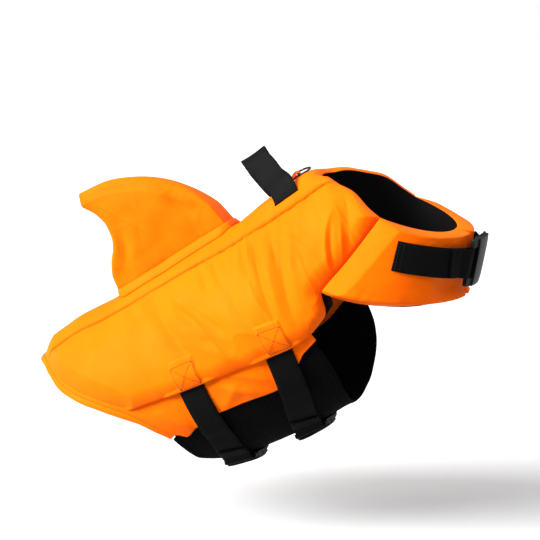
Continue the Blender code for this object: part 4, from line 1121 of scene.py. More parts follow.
@dataclass(frozen=True)
class SidePanel:
    """A padded panel from the spine strip to the pocket edge, armhole and shoulder seam."""

    side: Side
    pattern: Pattern = Pattern()
    shoulder: Edge = Edge(5.2, 14.0, crease=1.6, turn=1.3, foot=0.6)
    armhole: Edge = Edge(6.4, 10.0, turn=4.0, foot=0.15)
    pocket: Edge = Edge(8.0, 13.0, crease=1.7, turn=1.3, foot=0.5)
    # Where the panel is lifted over what is tucked under it.
    pocket_depth: Place = (40.0, 23.0)
    pocket_rear_end: Place = (76.0, 88.0)
    pocket_front_end: Place = (304.0, 288.0)
    pocket_over_strap: Place = (34.0, 21.0)
    over_flap: float = 5.1
    over_strap: float = 7.7
    thinnest: float = 2.6
    hidden_end: float = 1.4
    anchors: tuple[Anchor, ...] = (
        Anchor((149.9, 80.8), (173.3, 81.4), (146.3, 92.8)),
        Anchor((244.2, 86.5), (266.2, 88.4), (242.0, 98.0)),
    )
    folds_right: tuple[Fold, ...] = (
        Fold((152, 38), (180, 87), -3.6, 6.5, bend=4.0),
        Fold((171, 44), (221, 89), -3.6, 7.0, bend=-5.0),
        Fold((190, 74), (216, 89), -2.0, 3.5, bend=-2.0),
        Fold((184, 50), (214, 72), 1.3, 5.0),
        Fold((260, 36), (261, 67), -1.7, 3.2, bend=1.5),
        Fold((275, 39), (266, 87), -2.8, 4.2, bend=2.0),
        Fold((284, 41), (277, 74), 0.9, 3.6, bend=1.0),
        Fold((293, 38), (287, 66), -1.8, 3.2, bend=-1.0),
        Fold((305, 47), (280, 92), -3.0, 4.8, bend=3.0),
        Fold((318, 42), (312, 66), -0.8, 5.0),
        Fold((370, 49), (346, 83), -4.2, 7.5, bend=-5.0),
        Fold((330, 40), (341, 60), 0.7, 6.0),
        Fold((236, 50), (246, 86), -1.6, 5.0, bend=3.0),
        Fold((96, 42), (124, 80), -1.4, 9.0, bend=5.0),
        Fold((225, 34), (230, 56), -1.3, 3.0, bend=1.0),
        Fold((206, 33), (214, 54), -1.4, 3.2, bend=-1.0),
        Fold((356, 56), (327, 87), 1.9, 2.4, bend=5.0, beside=0.0),
        Fold((358.5, 62), (337, 85), 1.7, 2.2, bend=-2.5, beside=0.0),
        Fold((351, 61), (331, 84), -2.6, 3.0, bend=1.0, beside=0.0),
    )
    folds_left: tuple[Fold, ...] = (
        Fold((138, 40), (173, 85), -2.5, 8.0, bend=-5.0),
        Fold((162, 42), (196, 78), 0.9, 6.0, bend=3.0),
        Fold((194, 42), (228, 88), -2.7, 7.5, bend=4.0),
        Fold((212, 70), (232, 88), -1.2, 3.6, bend=-1.5),
        Fold((252, 38), (250, 70), -1.2, 4.0, bend=-1.5),
        Fold((269, 42), (262, 84), -2.1, 5.0, bend=-2.0),
        Fold((279, 38), (275, 62), 0.8, 3.4),
        Fold((299, 44), (276, 89), -2.4, 6.0, bend=-3.0),
        Fold((309, 40), (303, 60), -0.9, 3.6),
        Fold((366, 52), (344, 82), -3.0, 8.5, bend=4.0),
        Fold((352, 58), (329, 85), 1.2, 3.0, bend=-4.0, beside=0.0),
        Fold((348, 63), (333, 84), -1.5, 3.2, bend=-1.0, beside=0.0),
        Fold((84, 46), (112, 78), -0.8, 8.0, bend=-4.0),
        Fold((110, 34), (118, 54), -0.6, 4.0),
        Fold((216, 34), (221, 50), -0.7, 3.2, bend=1.0),
    )
    swells: tuple[Swells, ...] = (Swells(0.5, 46), Swells(0.2, 21))
    slanting_creases: Creases = Creases(0.8, 24, -32)
    front_creases: Creases = Creases(0.6, 17, 12)
    strip_gathers: Gathers = Gathers(0.75, 12.0, 10.0)
    shoulder_gathers: Gathers = Gathers(0.35, 9.0, 7.0)
    pocket_gathers: Gathers = Gathers(0.3, 17.0, 9.0)
    # The least height of the turned cloth over the inner face.
    turned: float = 0.25

    @property
    def folds(self) -> tuple[Fold, ...]:
        """This side's folds."""
        return self.folds_right if self.side is Side.RIGHT else self.folds_left

    def edges(self) -> Edges:
        """Lines of the panel's six edges on the trunk."""
        trunk, seams = self.pattern.trunk, self.pattern.seams
        seam_along = np.linspace(5, 370, 90)
        rear_angle = np.linspace(26, 92, 40)
        neck_angle = np.linspace(34, 75.2, 24)
        pocket, armhole, shoulder = (np.linspace(*ends, 60) for ends in ((83, 284), (284, 311), (311, 388)))
        return (
            (trunk.point(seam_along, seams.strip_angle(seam_along)), STRIP_SEAM),
            (trunk.point(seams.rear_along(rear_angle), rear_angle), REAR_EDGE),
            (trunk.point(seams.neck_along(neck_angle), neck_angle), NECK_EDGE),
            (trunk.point(pocket, seams.lower_angle(pocket)), self.pocket),
            (trunk.point(armhole, seams.lower_angle(armhole)), self.armhole),
            (trunk.point(shoulder, seams.lower_angle(shoulder)), self.shoulder),
        )

    def inner(self, along: Array, angle: Array) -> Array:
        """Offset of the inner face, lifted near the pocket edge over flap and straps."""
        pattern = self.pattern
        below_edge = (pattern.seams.lower_angle(along) - angle) * pattern.seams.mm_per_degree
        near_edge = ease(below_edge, *self.pocket_depth)
        stretch = ease(along, *self.pocket_rear_end) * ease(along, *self.pocket_front_end)
        height = np.full(near_edge.shape, self.over_flap)
        for off_centre in pattern.straps.off_centres(along, angle):
            height = height + (self.over_strap - self.over_flap) * ease(off_centre, *self.pocket_over_strap)
        return pattern.inside + near_edge * stretch * (height - pattern.inside)

    def outside(self, along: Array, angle: Array) -> Array:
        """Offset of the outer face: foam, folds, gathers, hidden strap ends and turned edges."""
        pattern = self.pattern
        seams = pattern.seams
        inside = self.inner(along, angle)
        place = seams.flattened(along, angle)
        foam, kept = foam_height(pattern.trunk.point(along, angle), pattern.full, self.edges())
        soft = (foam - pattern.cloth) / (pattern.full - pattern.cloth)
        relief = folded(self.folds, place, seams.scale)
        seed = 11 if self.side is Side.RIGHT else 23
        for number, swells in enumerate(self.swells):
            relief = relief + swells.relief(place, seed + number)
        slanting = self.slanting_creases.relief(place, seed + 2, self.side.sign)
        relief = relief + slanting * ease(along, 90, 150)
        relief = relief + self.front_creases.relief(place, seed + 5) * ease(along, 225, 260)
        off_strip = (angle - seams.strip_angle(along)) * seams.mm_per_degree
        gathers = self.strip_gathers.relief(off_strip, along, 0.9 * self.side.sign)
        gathers = gathers * (0.15 + 0.85 * ease(along, 160, 235))
        off_lower = (seams.lower_angle(along) - angle) * seams.mm_per_degree
        on_shoulder = ease(along, 309, 318)
        on_pocket = (1 - on_shoulder) * ease(along, 90, 120)
        gathers = gathers + self.shoulder_gathers.relief(off_lower, along, 1.9) * on_shoulder
        gathers = gathers + self.pocket_gathers.relief(off_lower, along, 0.4) * on_pocket
        hidden = sum(anchor.raised(along, angle) for anchor in self.anchors) * self.hidden_end
        height = np.maximum(foam + soft * relief + gathers + hidden, inside + self.thinnest)
        return inside + self.turned + (height - inside - self.turned) * kept

    def grid(self) -> tuple[Array, Array]:
        """along and angle from the hem to the neck and from the strip down."""
        seams = self.pattern.seams
        middle = ((0.012, 0.63, 170), (0.63, 0.78, 70), (0.78, 0.988, 70))
        share = spans((0, 0.012, 6), *middle, (0.988, 1, 7))[:, None]
        down = spans((0, 0.03, 8), (0.03, 0.955, 100), (0.955, 1, 12))[None, :]
        rear = seams.rear_along(seams.panel_rear[0] + down * np.ptp(seams.panel_rear))
        neck = seams.neck_along(seams.panel_neck[0] + down * np.ptp(seams.panel_neck))
        along = rear + share * (neck - rear)
        seam = seams.strip_angle(along)
        return along, seam + down * (seams.lower_angle(along) - seam)

    def build(self, wardrobe: Wardrobe) -> None:
        """Lays the panel's two cloths."""
        along, angle = self.grid()
        trunk = self.pattern.trunk
        inner = trunk.over(along, angle, self.inner(along, angle))
        outer = trunk.over(along, angle, self.outside(along, angle))
        place = self.pattern.seams.flattened(along, angle)
        skin = self.side.place(slab(outer, inner, place, inside_finish=1))
        wardrobe.dress(f"side_panel_{self.side.value}", "cover", skin, ORANGE, LINING)


# ---- Chest -------------------------------------------------------------------------------------


@dataclass(frozen=True)
class ChestForm(Form):
    """The form of the right chest panel's inside.

    down runs from 0 at the neck to 1 at the lower edge. Each row is a cubic curve from the shoulder
    seam, ahead 0, to the front centre, ahead 1, where it runs straight across.
    """

    pattern: Pattern = Pattern()
    shoulder_start: float = 388.0
    shoulder_end: float = 311.0
    # Length down the panel, from the neck to the lower edge.
    depth: float = 84.0
    # down, forward, up of the front centre
    front: Table = ((0, 229, 33), (0.5, 233, 3), (1, 229, -27))
    # down, forward, outward, up, turn: how the rows leave the seam, and how hard they turn
    leave: Table = ((0, 84, 4, -28, 96), (1, 146, -12, -46, 132))

    def point(self, down: Array, ahead: Array) -> Array:
        """Points of the form: the cubic with its ends' directions."""
        down, ahead = np.broadcast_arrays(np.asarray(down, float), np.asarray(ahead, float))
        along = self.shoulder_start + np.clip(down, -0.02, 1.1) * (self.shoulder_end - self.shoulder_start)
        lower = self.pattern.seams.lower_angle(np.maximum(along, self.shoulder_end))
        seam = self.pattern.trunk.point(along, lower)
        front = np.stack([read(self.front, down, 1), 0 * down, read(self.front, down, 2)], axis=-1)
        front = front + np.maximum(down - 1, 0)[..., None] * np.array([-4.0, 0.0, -60.0])
        leave = np.stack([read(self.leave, down, k) for k in (1, 2, 3)], axis=-1)
        turn = np.stack([0 * down, read(self.leave, down, 4), 0 * down], axis=-1)
        return cubic(ahead[..., None], seam, leave, front, turn)

    def normal(self, down: Array, ahead: Array) -> Array:
        """Outward directions, across the form's slopes down and ahead."""
        step = 0.002
        across = self.point(down, np.minimum(ahead + step, 1)) - self.point(down, ahead - step)
        downward = self.point(down + step, ahead) - self.point(down - step, ahead)
        return unit(np.cross(downward, across))

    def row_length(self, down: Array) -> Array:
        """Length of each row, for a column of down."""
        steps = np.diff(self.point(down, np.linspace(0, 1, 60)[None, :]), axis=1)
        return np.linalg.norm(steps, axis=2).sum(1)[:, None]


@dataclass(frozen=True)
class ChestPanel:
    """A padded chest panel from the shoulder seam to the front centre."""

    side: Side
    form: ChestForm = ChestForm()
    full: float = 17.3
    cloth: float = 3.3
    front_clear: float = 0.05
    shoulder: Edge = Edge(6.4, 18.5, crease=1.04, turn=1.8, foot=0.35)
    neck: Edge = Edge(9.0, 7.0, turn=5.0, foot=0.12)
    hem: Edge = Edge(9.0, 7.0, turn=4.0, foot=0.2)
    centre: Edge = Edge(9.0, 7.0, turn=5.0, foot=0.2)
    # down, clearance of the panel from the shoulder seam
    seam_clear: Table = ((0, -0.3), (0.7, -0.3), (1, -0.1))
    # down, depth to which the strap and its buckle press the foam in at the front
    press: Table = ((0, 0), (0.12, 1.5), (0.4, 6.5), (0.7, 9.5), (0.85, 7.0), (1, 1.0))
    press_reach: Place = (56.0, 29.0)
    folds_right: tuple[Fold, ...] = (
        Fold((12, 34), (60, 96), -1.3, 9, bend=-6.0),
        Fold((58, 52), (72, 112), -1.0, 7, bend=3.0),
        Fold((4, 22), (22, 74), -1.0, 6, bend=3.0),
        Fold((66, 100), (78, 128), 0.8, 6),
        Fold((70, 24), (80, 58), -0.8, 4, bend=1.0),
    )
    folds_left: tuple[Fold, ...] = (
        Fold((16, 30), (64, 84), -1.4, 9, bend=6.0),
        Fold((54, 60), (74, 118), -0.9, 8, bend=-3.0),
        Fold((5, 30), (18, 82), -1.1, 6, bend=-2.0),
        Fold((70, 30), (79, 66), -0.8, 5, bend=-1.0),
    )
    slow_swells: Swells = Swells(0.3, 40)
    short_swells: Swells = Swells(0.12, 18)
    creases: Creases = Creases(0.4, 26, 60)
    hem_gathers: Gathers = Gathers(0.5, 11.0, 6.0)
    shoulder_gathers: Gathers = Gathers(0.3, 8.0, 6.0)
    # The most that the relief rises, the least height of the foam, and that of the turned cloth.
    highest: float = 0.4
    thinnest: float = 1.4
    turned: float = 0.25

    def edges(self) -> Edges:
        """Lines of the panel's four edges on its form."""
        share = np.linspace(0, 1, 50)
        point = self.form.point
        return (
            (point(share, 0 * share), self.shoulder),
            (point(0 * share, share), self.neck),
            (point(0 * share + 1, share), self.hem),
            (point(share, 0 * share + 1), self.centre),
        )

    def outside(self, down: Array, ahead: Array, row_length: Array) -> Array:
        """Offset of the outer face: foam, pressed in by the strap, folds, gathers and turned edges."""
        form, pattern = self.form, self.form.pattern
        foam, kept = foam_height(form.point(down, ahead), self.full, self.edges())
        pressed = read(self.press, down, 1) * ease((1 - ahead) * row_length, *self.press_reach)
        foam = np.minimum(foam, np.maximum(self.full - pressed, self.cloth))
        place = np.stack([down * form.depth, ahead * row_length], -1)
        off_neck, off_shoulder = place[..., 0], place[..., 1]
        sign = self.side.sign
        relief = folded(self.folds_right if self.side is Side.RIGHT else self.folds_left, place)
        relief = relief + self.slow_swells.relief(place, 31 + sign) + self.short_swells.relief(place, 37)
        relief = relief + self.creases.relief(place, 43 + sign)
        gathers = self.hem_gathers.relief((1 - down) * form.depth, off_shoulder, 1.1)
        gathers = gathers + self.shoulder_gathers.relief(off_shoulder, off_neck, 2.0)
        soft = np.clip((foam - self.cloth) / (pattern.full - pattern.cloth), 0, 1)
        height = foam + soft * np.minimum(relief, self.highest) + gathers
        height = np.maximum(height, pattern.inside + self.thinnest)
        lowest = pattern.inside + self.turned
        return lowest + (height - pattern.inside - self.turned) * kept

    def build(self, wardrobe: Wardrobe) -> None:
        """Lays the panel's two cloths."""
        form = self.form
        down = spans((0, 0.06, 8), (0.06, 0.94, 76), (0.94, 1, 8))[:, None]
        ahead = spans((0, 0.03, 7), (0.03, 0.96, 110), (0.96, 1, 7))[None, :]
        row_length = form.row_length(down)
        start = read(self.seam_clear, down, 1) / row_length
        ahead = start + ahead * (1 - self.front_clear / row_length - start)
        down = down + 0 * ahead
        inner = form.over(down, ahead, form.pattern.inside)
        outer = form.over(down, ahead, self.outside(down, ahead, row_length))
        cloth = np.stack([ahead * row_length, down * form.depth], -1)
        skin = self.side.place(slab(outer, inner, cloth, inside_finish=1))
        wardrobe.dress(f"chest_panel_{self.side.value}", "cover", skin, ORANGE, LINING)


# ---- Single cloths -----------------------------------------------------------------------------


WEBBING_WIDTH = 27.0


@dataclass(frozen=True)
class Cut:
    """The flat cut of a sheet: its width and length, and its area where it isn't a rectangle."""

    width: float
    length: float
    area: float

    @classmethod
    def webbing(cls, length: float) -> "Cut":
        """A length of the jacket's webbing."""
        return cls(WEBBING_WIDTH, length, WEBBING_WIDTH * length)

    def declare(self, piece: Piece, held: str, rests_on: list[str]) -> None:
        """Takes a piece, how it is held and what it rests on, and does nothing with them."""


RIM_SHARE = 0.45
LINING_LAYER = (-0.4, 0.6)
LINING_HALF = 0.4


def thinned(rows: int, columns: int) -> Array:
    """Share of a sheet's thickness on a grid: whole inside, and less on its rim, so it ends round."""
    share = np.ones((rows, columns))
    share[[0, -1], :] = RIM_SHARE
    share[:, [0, -1]] = RIM_SHARE
    return share


def lining(form: Form, first: Array, second: Array, place: Array, swells: Swells, seed: int) -> Skin:
    """A thin lining in its layer over a form, swelling a little."""
    middle = sum(LINING_LAYER) / 2 + swells.relief(place, seed) - 0.05
    return form.ply(first, second, middle, LINING_HALF * thinned(*place.shape[:2]), place)


@dataclass(frozen=True)
class RearHem:
    """Two plies of cloth past the foam, stitched along the foam and rippled at their outer edge."""

    side: Side
    pattern: Pattern = Pattern()
    cut: Cut = Cut(16, 226, 2300)
    under_panel: float = 1.3
    # outer angle, outer along, inner angle
    line: Table = (
        (0, -11, 0),
        (12, -7.6, 10),
        (24, -1.2, 20),
        (36, 5.2, 31),
        (48, 11.2, 42),
        (60, 18.7, 53),
        (71, 31, 64),
        (78.5, 41.5, 71),
        (85.4, 53.2, 78),
        (94, 68, 87),
        (103, 82.7, 97),
        (112, 91, 107),
        (120, 97, 117),
    )
    # share of the width, thickness
    thickness: Table = ((0, 3.4), (0.3, 3.0), (0.75, 2.8), (1, 1.8))
    ripples: Swells = Swells(0.7, 24)
    stitched_at: float = 0.42
    stitch_height: float = 2.45

    def across(self, row: Array, share: Array) -> tuple[Array, Array]:
        """along and angle at places along the line's rows and shares of the hem's width."""
        outer_angle, outer_along, inner_angle = (read(with_row_numbers(self.line), row, k) for k in (1, 2, 3))
        inner_along = self.pattern.seams.rear_along(inner_angle) + self.under_panel
        along = inner_along + share * (outer_along - inner_along)
        return along, inner_angle + share * (outer_angle - inner_angle)

    def build(self, wardrobe: Wardrobe) -> None:
        """Lays the hem on a grid along its line and across its width."""
        trunk, seams, inside = self.pattern.trunk, self.pattern.seams, self.pattern.inside
        last = len(self.line) - 1
        row = spans((0, 0.1, 3), (0.1, last - 0.1, 230), (last - 0.1, last, 3))[:, None]
        share = spans((0, 0.06, 2), (0.06, 0.94, 20), (0.94, 1, 3))[None, :]
        along, angle = self.across(row, share)
        angle = np.maximum(angle, 0)
        place = seams.flattened(along, angle)
        shift = 0.0 if self.side is Side.RIGHT else 40.0
        ripple = self.ripples.relief(place + shift, 5) * ease(share, 0.45, 1) * ease(row, 0.2, 1.2)
        at_stitches = np.exp(-(((share - self.stitched_at) / 0.1) ** 2))
        groove = 0.5 * at_stitches + 0.4 * np.exp(-((share / 0.06) ** 2))
        full = read(self.thickness, share + 0 * along, 1) - groove
        full = full * thinned(*along.shape)
        inner = trunk.over(along, angle, inside + np.maximum(ripple, 0) * 0.6)
        outer = trunk.over(along, angle, inside + full + ripple * 0.6)
        skin = self.side.place(slab(outer, inner, place, inside_finish=1))
        piece = wardrobe.dress(f"rear_hem_{self.side.value}", "cloth", skin, ORANGE, LINING)
        self.cut.declare(piece, "stretched", ["spine_strip_cover", f"side_panel_{self.side.value}_cover"])

    def stitch_line(self) -> Row:
        """The stitched line on the hem and the directions out of it."""
        trunk = self.pattern.trunk
        along, angle = self.across(np.linspace(0.15, len(self.line) - 1.3, 260), self.stitched_at)
        line = trunk.over(along, angle, self.pattern.inside + self.stitch_height)
        return self.side.points(line), self.side.points(trunk.normal(along, angle))


@dataclass(frozen=True)
class LowerFlap:
    """The single cloth below the pocket edge, creased between the straps."""

    side: Side
    pattern: Pattern = Pattern()
    cut: Cut = Cut(50, 200, 8700)
    layer: Place = (3.2, 4.7)
    rear_angles: Place = (90.0, 118.0)
    front: float = 283.0
    # along, upper angle, lower angle
    edges: Table = (
        (84, 92.4, 116),
        (98, 90.5, 116.3),
        (107.3, 87, 116.7),
        (114.5, 84, 120.6),
        (128, 83, 117.4),
        (162, 84.5, 114.4),
        (193, 86.5, 115.8),
        (223, 89, 118.6),
        (240, 90, 117),
        (256, 91, 111),
        (266, 91, 107.5),
        (283, 91, 105),
    )
    folds: tuple[Fold, ...] = (
        Fold((174, 96), (208, 114), 2.0, 5.0, bend=2.0, beside=0.2),
        Fold((192, 97), (224, 112), 1.6, 4.0, bend=-2.0, beside=0.2),
        Fold((106, 96), (130, 117), 1.8, 5.5, bend=2.0, beside=0.2),
        Fold((168, 113), (198, 103), 1.4, 4.5, beside=0.2),
        Fold((98, 99), (112, 115), 1.0, 4.0, beside=0.2),
        Fold((258, 94), (276, 104), 1.2, 5.0, beside=0.2),
    )

    def build(self, wardrobe: Wardrobe) -> None:
        """Lays the flap from the rear seam to its front end."""
        trunk, seams = self.pattern.trunk, self.pattern.seams
        down = spans((0, 0.02, 1), (0.02, 0.97, 44), (0.97, 1, 2))[None, :]
        rear_angle = self.rear_angles[0] + np.ptp(self.rear_angles) * down
        rear = seams.rear_along(rear_angle) - 0.8
        share = spans((0, 0.008, 2), (0.008, 0.992, 170), (0.992, 1, 2))[:, None]
        along = rear + share * (self.front - rear)
        upper, lower = (read(self.edges, along, k) for k in (1, 2))
        angle = upper + down * (lower - upper)
        angle = angle + (rear_angle - angle[:1]) * np.clip(1 - share / 0.3, 0, 1) ** 2
        place = seams.flattened(along, angle)
        lift = folded(self.folds, place, seams.scale)
        lift = lift + 0.35 * (1 + waves(place, 28, 41 + self.side.sign))
        open_air = ease(angle, 95, 101)
        for off_centre in self.pattern.straps.off_centres(along, angle):
            open_air = open_air * ease(off_centre, 15, 23)
        open_air = open_air * ease(share * (self.front - self.edges[0][0]), 2, 14)
        lift = np.maximum(lift, -0.1) * open_air
        half = (self.layer[1] - self.layer[0]) / 2 * thinned(*along.shape)
        skin = self.side.place(trunk.ply(along, angle, sum(self.layer) / 2 + lift, half, place))
        piece = wardrobe.dress(f"lower_flap_{self.side.value}", "cloth", skin, ORANGE)
        self.cut.declare(piece, "stretched", [f"side_panel_{self.side.value}_cover", "belly_panel_cloth"])


@dataclass(frozen=True)
class BellyPanel:
    """The mesh from one side to the other below the belly, with a bound edge at its front and rear."""

    pattern: Pattern = Pattern()
    cut: Cut = Cut(180, 300, 38500)
    layer: Place = (1.3, 2.8)
    # angle, rear along, front along
    edges: Table = (
        (104, 99.5, 281),
        (112, 101.5, 280),
        (118.6, 103.6, 279),
        (121, 98.6, 278),
        (132, 97.9, 272),
        (145, 97.2, 264),
        (153, 103, 260),
        (162, 110, 255),
        (180, 117, 250),
    )
    # Angles of the notch in the rear edge, below the flap's corner.
    notch: Place = (118.6, 121.0)
    binding: float = 0.35
    net_share: float = 0.75
    # along, angle of its upper edge
    top: Table = ((97, 105), (200, 104), (235, 102), (262, 97), (284, 96))

    def places(self, share: Array, nominal: Array) -> tuple[Array, Array]:
        """along and angle of the panel, from shares of its length and angles round the belly."""
        start = self.edges[0][0]
        off_spine = np.minimum(nominal, 360 - nominal)
        rear, front = (read(self.edges, off_spine, k) for k in (1, 2))
        along = rear + share * (front - rear)
        shift = (read(self.top, along, 1) - start) * ease(off_spine, 130, start)
        return along, nominal + np.where(nominal > 180, -shift, shift)

    def build(self, wardrobe: Wardrobe) -> None:
        """Lays the mesh from side to side."""
        trunk, seams = self.pattern.trunk, self.pattern.seams
        start = self.edges[0][0]
        upper, lower = self.notch
        right = spans((start, start + 0.5, 2), (start + 0.5, upper, 14), (upper, lower, 4), (lower, 180, 60))
        nominal = np.concatenate([right, 360 - right[-2::-1]])[None, :]
        rim = ((0, 0.006, 2), (0.006, 0.05, 6))
        share = spans(*rim, (0.05, 0.95, 84), (0.95, 0.994, 6), (0.994, 1, 2))[:, None]
        along, angle = self.places(share, nominal + 0 * share)
        place = seams.flattened(along, angle)
        low, high = self.layer
        bound = np.maximum(1 - ease(share, 0.03, 0.035), ease(share, 0.965, 0.97)) * self.binding
        half = ((high - low) / 2 * self.net_share + bound) * thinned(*along.shape)
        skin = trunk.ply(along, angle, (low + high) / 2, half, place)
        piece = wardrobe.dress("belly_panel", "cloth", skin, NET)
        straps = [f"belly_strap_{end}_right_webbing" for end in ("rear", "front")]
        self.cut.declare(piece, "stretched", straps)


@dataclass(frozen=True)
class ArmholeLining:
    """The band of lining that shows in front of a side panel's armhole."""

    side: Side
    pattern: Pattern = Pattern()
    cut: Cut = Cut(20, 48, 520)
    # angle, rear along, front along
    edges: Table = (
        (84, 298, 316),
        (88, 297, 316),
        (92, 296, 315.5),
        (95.4, 294, 314),
        (97.5, 290, 304.5),
        (99.5, 283, 294.5),
        (101.5, 274, 283),
    )

    def build(self, wardrobe: Wardrobe) -> None:
        """Lays the band."""
        trunk, seams = self.pattern.trunk, self.pattern.seams
        angle = spans((84, 84.5, 2), (84.5, 101.2, 40), (101.2, 101.5, 2))[:, None]
        rear, front = (read(self.edges, angle, k) for k in (1, 2))
        along = rear + spans((0, 0.04, 2), (0.04, 0.96, 16), (0.96, 1, 2))[None, :] * (front - rear)
        angle = angle + 0 * along
        place = seams.flattened(along, angle)
        skin = self.side.place(lining(trunk, along, angle, place, Swells(0.12, 15), 51))
        piece = wardrobe.dress(f"armhole_lining_{self.side.value}", "cloth", skin, LINING)
        self.cut.declare(piece, "stretched", [f"side_panel_{self.side.value}_cover"])


@dataclass(frozen=True)
class ChestLining:
    """The lining behind a chest panel's lower edge, which shows below it."""

    side: Side
    form: ChestForm = ChestForm()
    cut: Cut = Cut(20, 108, 1720)

    def build(self, wardrobe: Wardrobe) -> None:
        """Lays the band on the chest's form."""
        ahead = spans((0.16, 0.17, 2), (0.17, 0.975, 80), (0.975, 0.985, 2))[None, :]
        shows = 0.05 * np.sin(np.clip((ahead - 0.3) / 0.66, 0, 1) * math.pi) ** 0.7
        low = 0.985 + shows
        down = 0.78 + spans((0, 0.03, 2), (0.03, 0.97, 14), (0.97, 1, 2))[:, None] * (low - 0.78)
        ahead = ahead + 0 * down
        row_length = self.form.row_length(np.array([[0.9]]))
        place = np.stack([ahead * row_length, down * self.form.depth], -1)
        skin = self.side.place(lining(self.form, down, ahead, place, Swells(0.12, 17), 53))
        piece = wardrobe.dress(f"chest_lining_{self.side.value}", "cloth", skin, LINING)
        self.cut.declare(piece, "stretched", [f"chest_panel_{self.side.value}_cover"])


# ---- Fin ---------------------------------------------------------------------------------------


@dataclass(frozen=True)
class FinBase:
    """The low band that joins the fin to the spine strip."""

    strip: SpineStrip = SpineStrip()
    height: float = 6.5
    half: float = 17.0
    side_width: float = 4.2
    ends: Place = (104.0, 244.0)
    round: float = 12.0
    gathers: Gathers = Gathers(0.5, 8.0, 5.0)

    def build(self, wardrobe: Wardrobe) -> None:
        """Lays the band over the strip, rolled under at both sides."""
        rear, front = self.ends
        first, last = rear + self.round, front - self.round
        along = spans((rear, first, 14), (first, last, 110), (last, front, 14))[:, None]
        across = spans((-1, -0.8, 8), (-0.8, 0.8, 22), (0.8, 1, 8))[None, :]
        end = np.clip(np.minimum(along - rear, front - along) / self.round, 0, 1)
        half = self.half * (0.62 + 0.38 * np.sin(end * math.pi / 2))
        left = across * half
        outward = np.abs(left)
        gathers = self.gathers.relief(half - outward, along + 3 * across, 0.5)
        side = np.clip((half - outward) / self.side_width, 0, 1)
        tuck = 0.35 + 0.65 * np.sqrt(np.clip(end * 6, 0, 1))
        top = (0.7 + (self.height - 0.9) * side**0.85 + gathers * 0.6) * tuck
        inner = self.strip.over(along, left, 0.0)
        outer = self.strip.over(along, left, top)
        cloth = np.stack(np.broadcast_arrays(along, left), -1)
        wardrobe.dress("fin_base", "cover", slab(outer, inner, cloth), ORANGE)


